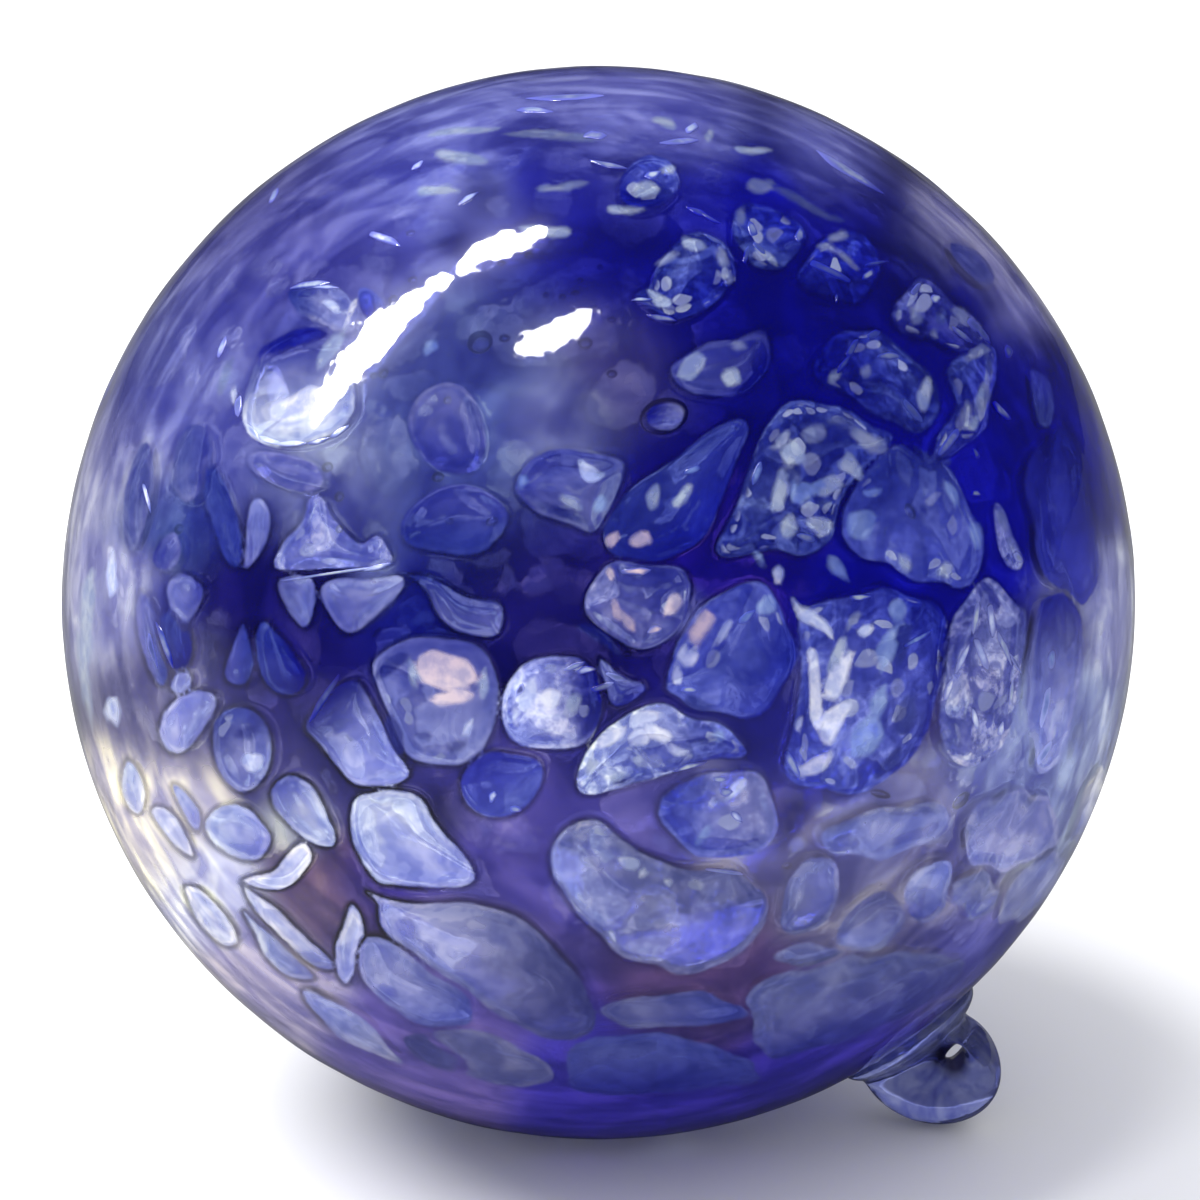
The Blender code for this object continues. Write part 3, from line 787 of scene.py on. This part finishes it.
def points_of(data):
    """The points of a mesh, one row each."""
    points = np.empty(len(data.vertices) * 3)
    data.vertices.foreach_get("co", points)
    return points.reshape(-1, 3)


def keep_above(points, lowest):
    """Flattens what reaches below a height over the floor, and returns the points as one list."""
    points[:, 2] = np.maximum(points[:, 2], lowest - BALL_MIDDLE.z)
    return points.ravel()


# %% A sphere that is finer on the front
SPHERE_LEVEL = 7


def fine_sphere(name):
    """A ball mesh with its front divided once more, and the directions of its points."""
    mesh = bmesh.new()
    bmesh.ops.create_icosphere(mesh, subdivisions=SPHERE_LEVEL, radius=1)
    facing = [e for e in mesh.edges if min(v.co.dot(toward_camera) for v in e.verts) > FRONT_LIMIT]
    bmesh.ops.subdivide_edges(mesh, edges=facing, cuts=1, use_grid_fill=True)
    bmesh.ops.triangulate(mesh, faces=mesh.faces)
    data = finished_mesh(name, mesh)
    points = points_of(data)
    return data, points / np.linalg.norm(points, axis=1)[:, None]


def store(data, name, kind, values):
    """Keeps one value for each point of a mesh, where the finish can read it by name."""
    field = {"FLOAT": "value", "FLOAT_VECTOR": "vector", "FLOAT_COLOR": "color"}[kind]
    if kind == "FLOAT_COLOR":
        values = np.column_stack((values, np.ones(len(values))))
    data.attributes.new(name, kind, "POINT").data.foreach_set(field, np.asarray(values, np.float32).ravel())


def add_piece(name, data, node):
    """A piece round the ball's middle that rides on the body and stands for a solid of the frame."""
    piece = bpy.data.objects.new(name, data)
    piece.location = BALL_MIDDLE
    bpy.context.scene.collection.objects.link(piece)
    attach(piece, "root")
    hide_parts(node)


# %% Outer skin
SKIN_MARGIN = 0.0002
SWELL = 0.00008
RIPPLE = 0.00004
OUTER_RADIUS = BALL_RADIUS - SKIN_MARGIN
STORED = {
    "FLOAT": ("edge", "painted_shadow_line", "sparkle", "chip"),
    "FLOAT_VECTOR": ("facet",),
    "FLOAT_COLOR": ("tint", "vein", "chip_tone"),
}

skin_mesh, directions = fine_sphere("ball_skin")
pebble_map = measured(directions)
swell = SWELL * pebble_map["lens"] / LENS_HEIGHT
ripple = RIPPLE * wave_heights(directions).mean(axis=0)
skin_points = directions * (OUTER_RADIUS - SWELL + swell + ripple)[:, None]
skin_mesh.vertices.foreach_set("co", keep_above(skin_points, 0))
for kind, names in STORED.items():
    for name in names:
        store(skin_mesh, name, kind, pebble_map[name])
add_piece("ball_skin", skin_mesh, "glass_ball")
print("outer skin:", len(skin_mesh.polygons), "triangles")

# %% Inner skin
WALL = 0.0022

lining_mesh, directions = fine_sphere("ball_lining")
lining_points = directions * (OUTER_RADIUS - WALL - pebble_map["lens"] * MILLIMETRE)[:, None]
lining_mesh.vertices.foreach_set("co", keep_above(lining_points, WALL))
lining_mesh.flip_normals()
add_piece("ball_lining", lining_mesh, "glass_ball")
print("inner skin:", len(lining_mesh.polygons), "triangles")

# %% [markdown]
# A sliver is a flake of pale glass flush with the surface, and a few milk ones are painted highlight. It is a
# low dome whose rim dips just under the skin, so only a soft shape shows. Rings of points that shrink towards
# the middle make the dome, and each ring knows how far in it is. A flake is opaque, so its rim is painted with
# the colour that the glass beside it shows against the ball's far side: painted light seen through the wall.

# %% Slivers
FLAKE_RINGS = ((1.0, -0.00005), (0.9, 0.00001), (0.65, 0.00003), (0.35, 0.00004))
GLASS_CLARITY = 0.62
BEHIND = (0.27, 0.30, 0.60)
SOFT_BORDER = 0.4

flakes = bmesh.new()
looks, ways = [], []
for tone, outline in slivers:
    middle = outline.mean(axis=0)
    rows = []
    for share, height in FLAKE_RINGS:
        ring = middle + (outline - middle) * share
        ring_ways = [on_ball(*place) for place in ring]
        rows.append([flakes.verts.new(way * (OUTER_RADIUS + height)) for way in ring_ways])
        ways.extend(ring_ways)
        looks.extend([(1 - share, *CHIP_TONES[tone])] * len(ring))
    for outer, inner in zip(rows, rows[1:]):
        for i in range(len(outer)):
            j = (i + 1) % len(outer)
            flakes.faces.new((outer[j], outer[i], inner[i], inner[j]))
    flakes.faces.new(rows[-1][::-1])
flakes_mesh = finished_mesh("pale_slivers", flakes)
looks = np.array(looks)
store(flakes_mesh, "inward", "FLOAT", looks[:, 0])
store(flakes_mesh, "tint", "FLOAT_COLOR", looks[:, 1:])
beside = measured(np.array(ways))
in_pebble = np.clip(beside["edge"] / SOFT_BORDER, 0, 1)[:, None]
ground = beside["vein"] * (1 - in_pebble) + beside["tint"] * in_pebble
seen_through = GLASS_CLARITY * np.sqrt(ground) * BEHIND + (1 - GLASS_CLARITY) * ground
store(flakes_mesh, "ground", "FLOAT_COLOR", seen_through)
add_piece("pale_slivers", flakes_mesh, "glass_ball")
print("slivers:", len(flakes_mesh.polygons), "faces")

# %% [markdown]
# The finish of the outer skin mixes two colours by how deep a point is in its pebble. That depth is smooth,
# so the border stays crisp although it is stored only at the mesh's points. Small helpers keep the trees
# short, and a noise's scale says how many of its soft spots fit in a metre.

# %% Node helpers
GLASS_IOR = 1.5


def new_glass(name, transmission, roughness):
    """A Principled glass, its node tree and its shader."""
    material = bpy.data.materials.new(name)
    material.use_nodes = True
    shader = material.node_tree.nodes["Principled BSDF"]
    shader.inputs["Transmission Weight"].default_value = transmission
    shader.inputs["Roughness"].default_value = roughness
    shader.inputs["IOR"].default_value = GLASS_IOR
    return material, material.node_tree, shader


def attribute(tree, name, output):
    """A value stored on the mesh."""
    node = tree.nodes.new("ShaderNodeAttribute")
    node.attribute_name = name
    return node.outputs[output]


def plug(tree, socket, value):
    """Joins a socket to another, or sets it to a plain value."""
    if isinstance(value, bpy.types.NodeSocket):
        tree.links.new(value, socket)
    elif value is not None:
        socket.default_value = value


def maths(tree, operation, first, second=None):
    """One sum. A number or a socket may be given for each value."""
    node = tree.nodes.new("ShaderNodeMath")
    node.operation = operation
    plug(tree, node.inputs[0], first)
    plug(tree, node.inputs[1], second)
    return node.outputs[0]


def step(tree, value, low, high):
    """0 below low, 1 above high, and smooth between."""
    node = tree.nodes.new("ShaderNodeMapRange")
    node.interpolation_type = "SMOOTHSTEP"
    plug(tree, node.inputs["Value"], value)
    node.inputs["From Min"].default_value = low
    node.inputs["From Max"].default_value = high
    return node.outputs["Result"]


def blend(tree, share, first, second, mode="MIX"):
    """Two colours mixed by a share from 0 to 1."""
    node = tree.nodes.new("ShaderNodeMix")
    node.data_type = "RGBA"
    node.blend_type = mode
    plug(tree, node.inputs[0], share)
    plug(tree, node.inputs[6], first)
    plug(tree, node.inputs[7], second)
    return node.outputs[2]


def mottled(tree, colour, share, first, second):
    """A colour times one factor where the share is 0, and times another where it is 1."""
    return blend(tree, 1.0, colour, blend(tree, share, (*first, 1), (*second, 1)), "MULTIPLY")


def noise(tree, place, scale, detail=3.0, distortion=0.0):
    """Soft noise between 0 and 1."""
    node = tree.nodes.new("ShaderNodeTexNoise")
    plug(tree, node.inputs["Vector"], place)
    node.inputs["Scale"].default_value = scale
    node.inputs["Detail"].default_value = detail
    node.inputs["Distortion"].default_value = distortion
    return node.outputs["Fac"]


def bump(tree, shader, height, distance):
    """Fine relief on the shader's surface."""
    node = tree.nodes.new("ShaderNodeBump")
    node.inputs["Strength"].default_value = 1.0
    node.inputs["Distance"].default_value = distance
    plug(tree, node.inputs["Height"], height)
    tree.links.new(node.outputs["Normal"], shader.inputs["Normal"])


# %% Soft colour inside a pebble
WHITE = (1.0, 1.0, 1.0)
RAGGEDNESS = 0.35

cobalt, tree, shader = new_glass("cobalt_pebble_glass", GLASS_CLARITY, 0.04)
ball_place = tree.nodes.new("ShaderNodeTexCoord").outputs["Object"]
edge = attribute(tree, "edge", "Fac")
facet = attribute(tree, "facet", "Vector")
ragged = maths(tree, "SUBTRACT", noise(tree, ball_place, 600.0, 1.0), 0.5)
soft_edge = maths(tree, "ADD", edge, maths(tree, "MULTIPLY", ragged, RAGGEDNESS))
in_pebble = step(tree, soft_edge, -0.12, 0.30)
deep_in_pebble = step(tree, soft_edge, 0.3, 0.9)

cloud = step(tree, noise(tree, ball_place, 130.0, 3.0, 0.8), 0.34, 0.68)
patch = step(tree, noise(tree, facet, 0.32, 1.0), 0.42, 0.58)
inner_ring = maths(tree, "SUBTRACT", step(tree, soft_edge, 0.45, 0.8), step(tree, soft_edge, 0.9, 2.1))
soft_tint = mottled(tree, attribute(tree, "tint", "Color"), cloud, (0.66, 0.70, 0.88), (1.40, 1.35, 1.15))
soft_tint = mottled(tree, soft_tint, patch, (0.84, 0.85, 0.93), (1.18, 1.16, 1.07))
soft_tint = mottled(tree, soft_tint, inner_ring, WHITE, (0.80, 0.84, 0.96))

# %% [markdown]
# Where a pebble cracked as it cooled, it sparkles. Frost of two sizes roughens its colour there, and crackle
# adds pale tiles, which are painted light: the daylit bits of the far wall that a real clear pebble shows
# through itself. A Voronoi texture cuts the pebble's own plane into cells, some cells are painted lit by
# chance, and each fades out before the crack round it.

# %% Frost and crackle
PAINTED_LIGHT_TILE = (0.34, 0.38, 0.52, 1)
CRACKLE_SCALE = 0.42
TILE_LEAST, TILE_SPREAD = 0.25, 0.6

sparkle = attribute(tree, "sparkle", "Fac")
frost = step(tree, noise(tree, ball_place, 250.0, 4.0, 1.0), 0.46, 0.60)
fine = step(tree, noise(tree, ball_place, 1300.0, 1.0), 0.32, 0.68)
rough_tint = mottled(tree, soft_tint, frost, (0.46, 0.50, 0.78), (2.5, 2.4, 1.6))
rough_tint = mottled(tree, rough_tint, fine, (0.66, 0.68, 0.84), (1.4, 1.36, 1.2))
pebble_tint = blend(tree, step(tree, sparkle, -0.02, 0.22), soft_tint, rough_tint)

cells = tree.nodes.new("ShaderNodeTexVoronoi")
cells.voronoi_dimensions = "2D"
cells.inputs["Scale"].default_value = CRACKLE_SCALE
tree.links.new(facet, cells.inputs["Vector"])
chance = tree.nodes.new("ShaderNodeSeparateColor")
tree.links.new(cells.outputs["Color"], chance.inputs[0])
lit = maths(tree, "LESS_THAN", chance.outputs[0], sparkle)
clear_of_crack = step(tree, cells.outputs["Distance"], 0.58, 0.42)
brightness = maths(tree, "ADD", maths(tree, "MULTIPLY", chance.outputs[1], TILE_SPREAD), TILE_LEAST)
painted_light_share = maths(tree, "MULTIPLY", maths(tree, "MULTIPLY", lit, clear_of_crack), deep_in_pebble)
# The pale tiles are painted light seen through the pebble.
pebble_colour = blend(tree, maths(tree, "MULTIPLY", painted_light_share, brightness), pebble_tint, PAINTED_LIGHT_TILE)

# %% Chips under the skin
CHIP_STRENGTH = 0.85

grain = noise(tree, ball_place, 520.0, 3.0)
chip_depth = maths(tree, "ADD", attribute(tree, "chip", "Fac"), maths(tree, "SUBTRACT", grain, 0.5))
chip_share = maths(tree, "MULTIPLY", step(tree, chip_depth, -0.22, 0.48), CHIP_STRENGTH)
chip_colour = mottled(tree, attribute(tree, "chip_tone", "Color"), step(tree, grain, 0.36, 0.64),
                      (1.1, 1.1, 1.05), (0.62, 0.68, 0.88))

# %% [markdown]
# The veins were drawn out as the ball was turned and blown, so their streaks run one way. A noise that is
# squeezed along the swirl's axis does this, a slower one drifts across it, and beside a pebble the vein
# darkens to a painted shadow line.

# %% Veins
SWIRL_AXIS = Vector((0.2, -0.9, 0.3))
SWIRL_SQUEEZE = 0.22
SHADOW_LINE = (0.03, 0.03, 0.03)

streaks = tree.nodes.new("ShaderNodeMapping")
streaks.vector_type = "TEXTURE"
streaks.inputs["Rotation"].default_value = SWIRL_AXIS.to_track_quat("Z", "Y").to_euler()
streaks.inputs["Scale"].default_value = (1.0, 1.0, SWIRL_SQUEEZE)
tree.links.new(ball_place, streaks.inputs["Vector"])
streak = step(tree, noise(tree, streaks.outputs["Vector"], 60.0, 1.0, 0.6), 0.35, 0.70)
drift = step(tree, noise(tree, ball_place, 120.0, 2.0, 1.0), 0.34, 0.68)
# Painted shadow: the vein turns dark in a line beside each pebble.
painted_shadow_line = maths(tree, "MULTIPLY", step(tree, edge, -0.8, -0.1), attribute(tree, "painted_shadow_line", "Fac"))
vein = mottled(tree, attribute(tree, "vein", "Color"), streak, (0.60, 0.60, 0.78), (1.6, 1.6, 1.3))
vein = mottled(tree, vein, drift, (0.60, 0.60, 0.80), (1.45, 1.45, 1.2))
vein = mottled(tree, vein, painted_shadow_line, WHITE, SHADOW_LINE)

# %% Cobalt glass with pebbles
SKIN_RELIEF = 0.00006

under_chips = blend(tree, in_pebble, vein, pebble_colour)
tree.links.new(blend(tree, chip_share, under_chips, chip_colour), shader.inputs["Base Color"])
bump(tree, shader, noise(tree, ball_place, 240.0, 2.0), SKIN_RELIEF)
shader.inputs["Coat Weight"].default_value = 0.12
shader.inputs["Coat Roughness"].default_value = 0.2
skin_mesh.materials.append(cobalt)
print("skin finish:", len(tree.nodes), "nodes")

# %% Clear lining
clear, tree, shader = new_glass("clear_lining", 1.0, 0.0)
shader.inputs["Base Color"].default_value = (0.97, 0.98, 1.0, 1)
lining_mesh.materials.append(clear)

# %% Chip glass
FLAKE_RAGGEDNESS = 0.9

chip_glass, tree, shader = new_glass("pale_chip_glass", 0.0, 0.06)
place = tree.nodes.new("ShaderNodeTexCoord").outputs["Object"]
ragged = maths(tree, "SUBTRACT", noise(tree, place, 800.0, 3.0), 0.5)
ragged = maths(tree, "MULTIPLY", ragged, FLAKE_RAGGEDNESS)
inward = maths(tree, "ADD", attribute(tree, "inward", "Fac"), ragged)
solid = maths(tree, "MULTIPLY", step(tree, inward, 0.05, 0.85), CHIP_STRENGTH)
mottle = step(tree, noise(tree, place, 420.0, 5.0, 0.8), 0.35, 0.68)
tone = mottled(tree, attribute(tree, "tint", "Color"), mottle, (0.34, 0.38, 0.60), (0.82, 0.82, 0.80))
tree.links.new(blend(tree, solid, attribute(tree, "ground", "Color"), tone), shader.inputs["Base Color"])
flakes_mesh.materials.append(chip_glass)

# %% [markdown]
# Air trapped in the wall makes seeds and blisters. A bubble is a small ball with its faces turned inwards, so
# that light leaves the glass there and enters it again, and the dark rim and bright spot come by themselves.

# %% Seeds and blisters
BLISTERS = (
    (665, 413, 23, 17, 20), (478, 338, 12, 12, 0), (350, 370, 8, 6, 0), (323, 465, 6, 5, 0),
    (335, 495, 5, 5, 0), (435, 475, 6, 5, 0), (490, 520, 6, 4, 20), (585, 339, 7, 6, 0),
    (915, 510, 8, 5, -60), (966, 803, 11, 7, 40), (885, 797, 12, 4, -15), (790, 870, 5, 4, 0),
    (612, 370, 5, 4, 0), (445, 397, 4, 4, 0), (552, 330, 4, 4, 0), (500, 258, 4, 3, 0), (528, 250, 4, 4, 0),
    (545, 290, 3, 3, 0), (562, 292, 3, 3, 0), (580, 275, 3, 3, 0), (575, 288, 4, 3, 0), (600, 262, 3, 3, 0),
    (612, 315, 4, 3, 0), (410, 275, 5, 4, 0), (408, 228, 5, 4, 0), (390, 295, 5, 5, 0), (380, 370, 5, 5, 0),
    (370, 372, 4, 3, 0), (344, 384, 4, 3, 0), (173, 528, 6, 5, 0), (335, 528, 4, 4, 0), (447, 520, 4, 3, 0),
    (503, 334, 5, 4, 0), (628, 655, 4, 3, 0), (945, 660, 4, 3, 0),
)
BACK_SEEDS = 40
BACK_SEED_LIMIT, BACK_SEED_LOWEST = 0.3, -0.95
BACK_SEED_SIZES = (0.0003, 0.0009)
BACK_SEED_LENGTHS = (1, 1.6)
SEED_DEPTH = 0.0011
SEED_FLATNESS = 0.0009
SEED_LEVEL = 3

seeds = bmesh.new()


def add_seed(normal, long_way, half_length, half_width):
    """One bubble inside the wall, flattened against it."""
    across = normal.cross(long_way)
    turn = Matrix((long_way, across, normal)).transposed().to_4x4()
    stretch = Matrix.Diagonal((half_length, half_width, min(half_width, SEED_FLATNESS), 1))
    place = Matrix.Translation(normal * (OUTER_RADIUS - SEED_DEPTH)) @ turn @ stretch
    bmesh.ops.create_icosphere(seeds, subdivisions=SEED_LEVEL, radius=1, matrix=place)


for x, y, half_length, half_width, tilt in BLISTERS:
    normal, tip = on_ball(x, y), oval(x, y, 1, 1, tilt)[0]
    long_way = on_ball(*tip) - normal
    long_way = (long_way - normal * long_way.dot(normal)).normalized()
    add_seed(normal, long_way, half_length / PIXELS_PER_METRE, half_width / PIXELS_PER_METRE)
for direction in random.normal(size=(BACK_SEEDS, 3)):
    normal = Vector(direction).normalized()
    if normal.dot(toward_camera) < BACK_SEED_LIMIT and normal.z > BACK_SEED_LOWEST:
        size = random.uniform(*BACK_SEED_SIZES)
        add_seed(normal, normal.orthogonal().normalized(), size * random.uniform(*BACK_SEED_LENGTHS), size)
bmesh.ops.reverse_faces(seeds, faces=seeds.faces)
seeds_mesh = finished_mesh("air_seeds", seeds)
add_piece("air_seeds", seeds_mesh, "glass_ball")
bubble, tree, shader = new_glass("bubble_wall", 1.0, 0.0)
shader.inputs["Base Color"].default_value = (0.95, 0.97, 1.0, 1)
seeds_mesh.materials.append(bubble)
print("seeds:", len(seeds_mesh.polygons), "faces")

# %% [markdown]
# The loop was pulled from a hot gob: a bit is dropped on the seal, drawn out, folded over and stuck down, and
# the eye is what stays open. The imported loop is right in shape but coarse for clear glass, where every facet
# shows. So the same ovals are skinned again, melted together on a finer grid and fire-polished. Its foot dips
# a hair into the ball so that no gap shows. All of it is made pointing up over the ball's middle, and then
# leans over as the ball lies.

# %% Shape of the loop
LOOP_STAND_OUT, LOOP_SINK = 0.0133, 0.0026
LOOP_WIDTH, LOOP_DEPTH = 0.0150, 0.0084
LOOP_SHIFT, LOOP_SKEW = 0.0022, 0.20
EYE_WIDTH, EYE_HEIGHT, EYE_ALONG, EYE_OUT = 0.0044, 0.0009, -0.0016, 0.0053
EYE_TURN = math.radians(15)
PAD_HALF = (0.0096, 0.0080, 0.0034)
PAD_SHIFT = 0.0016
LOOP_LEAN = math.radians(38.3)
RING_SIDES, ROD_SIDES = 120, 48


def loop_ring(turn):
    """An oval of points across the drawn rod, where it has gone this far round the eye."""
    half_height = (LOOP_STAND_OUT + LOOP_SINK) / 2
    out = half_height * math.sin(turn)
    outer = np.array((LOOP_SHIFT + LOOP_WIDTH / 2 * math.cos(turn) - LOOP_SKEW * out, 0,
                      BALL_RADIUS + LOOP_STAND_OUT - half_height + out))
    wide, high = EYE_WIDTH / 2 * math.cos(turn - EYE_TURN), EYE_HEIGHT / 2 * math.sin(turn - EYE_TURN)
    inner = np.array((EYE_ALONG + wide * math.cos(EYE_TURN) - high * math.sin(EYE_TURN), 0,
                      BALL_RADIUS + EYE_OUT + wide * math.sin(EYE_TURN) + high * math.cos(EYE_TURN)))
    spins = np.linspace(0, 2 * math.pi, ROD_SIDES, endpoint=False)
    ring = (outer + inner) / 2 + np.outer(np.cos(spins), (outer - inner) / 2)
    ring[:, 1] = LOOP_DEPTH / 2 * np.sin(spins)
    return ring


# %% Skinning the loop
gob = bmesh.new()
rows = [[gob.verts.new(p) for p in loop_ring(2 * math.pi * i / RING_SIDES)] for i in range(RING_SIDES)]
for row, following in zip(rows, rows[1:] + rows[:1]):
    for i in range(ROD_SIDES):
        j = (i + 1) % ROD_SIDES
        gob.faces.new((row[i], row[j], following[j], following[i]))
pad_place = Matrix.Translation((PAD_SHIFT, 0, BALL_RADIUS)) @ Matrix.Diagonal((*PAD_HALF, 1))
bmesh.ops.create_icosphere(gob, subdivisions=5, radius=1, matrix=pad_place)
bmesh.ops.recalc_face_normals(gob, faces=gob.faces)
gob_piece = bpy.data.objects.new("gob", finished_mesh("gob", gob))
print("gob:", len(gob_piece.data.polygons), "faces before it is melted")

# %% Melting and polishing the loop
LOOP_VOXEL = 0.00032
LOOP_POLISH = 34
FOOT_DEPTH = 0.0004
FLOOR_GAP = 0.0002

bpy.context.scene.collection.objects.link(gob_piece)
melt = gob_piece.modifiers.new("melt", "REMESH")
melt.mode = "VOXEL"
melt.voxel_size = LOOP_VOXEL
polish = gob_piece.modifiers.new("polish", "SMOOTH")
polish.factor = 0.5
polish.iterations = LOOP_POLISH
loop_mesh = bpy.data.meshes.new_from_object(gob_piece.evaluated_get(bpy.context.evaluated_depsgraph_get()))
bpy.data.objects.remove(gob_piece)
points = points_of(loop_mesh)
reach = np.linalg.norm(points, axis=1)
points *= (np.maximum(reach, OUTER_RADIUS - FOOT_DEPTH) / reach)[:, None]
lean_over = np.array(Matrix.Rotation(math.pi - LOOP_LEAN, 3, "Y"))
points = points @ lean_over.T
loop_mesh.vertices.foreach_set("co", keep_above(points, FLOOR_GAP))
loop_mesh.shade_smooth()
add_piece("glass_loop", loop_mesh, "hanging_loop")
low, high = (corner + np.array(BALL_MIDDLE) for corner in (points.min(axis=0), points.max(axis=0)))
print("loop:", len(loop_mesh.polygons), "faces from", low.round(4), "to", high.round(4))
print("packed loop from", LOOP_LOW, "to", LOOP_HIGH)

# %% Loop glass
# Painted shade: the glass round the eye is painted almost black, so that the eye's slit looks dark.
PAINTED_EYE_SHADOW = (0.012, 0.010, 0.03, 1)
CLEAR_BLUE, SMOKY_BLUE = (0.10, 0.12, 0.42, 1), (0.27, 0.30, 0.56, 1)
EYE_SHADE = (0.0014, 0.0030)
LOOP_RELIEF = 0.00008

loop_glass, tree, shader = new_glass("loop_glass", 0.8, 0.03)
place = tree.nodes.new("ShaderNodeTexCoord").outputs["Object"]
smoke = step(tree, noise(tree, place, 260.0, 3.0, 1.5), 0.36, 0.64)
clear_colour = blend(tree, smoke, CLEAR_BLUE, SMOKY_BLUE)
eye_middle = lean_over @ np.array((EYE_ALONG, 0, BALL_RADIUS + EYE_OUT))
flat = tree.nodes.new("ShaderNodeVectorMath")
flat.operation = "MULTIPLY"
flat.inputs[1].default_value = (1, 0, 1)
tree.links.new(place, flat.inputs[0])
from_eye = tree.nodes.new("ShaderNodeVectorMath")
from_eye.operation = "DISTANCE"
tree.links.new(flat.outputs[0], from_eye.inputs[0])
from_eye.inputs[1].default_value = eye_middle
clear_of_painted_eye_shade = step(tree, from_eye.outputs["Value"], *EYE_SHADE)
tree.links.new(blend(tree, clear_of_painted_eye_shade, PAINTED_EYE_SHADOW, clear_colour), shader.inputs["Base Color"])
bump(tree, shader, noise(tree, place, 420.0, 2.0, 0.5), LOOP_RELIEF)
loop_mesh.materials.append(loop_glass)

# %% [markdown]
# The stage is a white floor under soft light. Glass shows what is round it: seen through, the ball needs a
# bright room, but in its polish it should mirror a dim one, or a grey veil lies over the cobalt. In a studio
# black cloth hangs beside the camera for this, and here the world gives mirror rays a dimmer room.

# %% Floor and room
FLOOR_HALF = 3.0
ROOM_LIGHT = 1.05
MIRRORED_ROOM = 0.06
PAPER, MIRRORED_PAPER = (0.88, 0.88, 0.89, 1), (0.15, 0.15, 0.15, 1)


def mirror_rays(tree):
    """1 for light that a polished surface reflects, and 0 for all other light."""
    rays = tree.nodes.new("ShaderNodeLightPath")
    return maths(tree, "MULTIPLY", rays.outputs["Is Glossy Ray"], rays.outputs["Is Reflection Ray"])


floor_mesh = bpy.data.meshes.new("floor")
corners = [(x * FLOOR_HALF, y * FLOOR_HALF, 0) for x, y in ((-1, -1), (1, -1), (1, 1), (-1, 1))]
floor_mesh.from_pydata(corners, [], [(0, 1, 2, 3)])
floor = bpy.data.objects.new("floor", floor_mesh)
bpy.context.scene.collection.objects.link(floor)
paper, tree, shader = new_glass("white_paper", 0.0, 0.6)
plug(tree, shader.inputs["Base Color"], blend(tree, mirror_rays(tree), PAPER, MIRRORED_PAPER))
floor_mesh.materials.append(paper)

world = bpy.data.worlds.new("studio")
world.use_nodes = True
tree = world.node_tree
background = tree.nodes["Background"]
background.inputs["Color"].default_value = (0.96, 0.97, 1.0, 1)
dimming = maths(tree, "MULTIPLY", mirror_rays(tree), ROOM_LIGHT - MIRRORED_ROOM)
plug(tree, background.inputs["Strength"], maths(tree, "SUBTRACT", ROOM_LIGHT, dimming))
bpy.context.scene.world = world

# %% [markdown]
# A lamp shows in the polish where the surface turns the eye's line towards it. So a lamp that has to show at
# a known place in the picture stands where that line goes, and a long softbox is strung between two of them.

# %% Softboxes
LAMP_DISTANCE = 1.2


def lamp_place(x, y):
    """Where a lamp has to be for its mirror image to show at a picture place."""
    normal = on_ball(x, y)
    surface = BALL_MIDDLE + normal * OUTER_RADIUS
    inward = (surface - camera.location).normalized()
    return surface + (inward - normal * (2 * inward.dot(normal))) * LAMP_DISTANCE


def softbox(name, start, end, width, power):
    """An oval area light whose mirror image runs between two picture places."""
    start, end = lamp_place(*start), lamp_place(*end)
    middle = (start + end) / 2
    back = (middle - BALL_MIDDLE).normalized()
    along = end - start
    along = (along - back * along.dot(back)).normalized()
    data = bpy.data.lights.new(name, "AREA")
    data.shape = "ELLIPSE"
    data.size, data.size_y = (end - start).length, width
    data.energy = power
    light = bpy.data.objects.new(name, data)
    light.location = middle
    light.rotation_euler = Matrix((along, back.cross(along), back)).transposed().to_euler()
    bpy.context.scene.collection.objects.link(light)
    print(name, "is", round(data.size, 2), "m long at", tuple(round(c, 2) for c in middle))


softbox("window", (312, 436), (446, 272), 0.15, 16)
softbox("window_top", (452, 268), (548, 228), 0.14, 6)
softbox("second_window", (518, 354), (598, 308), 0.13, 3.5)
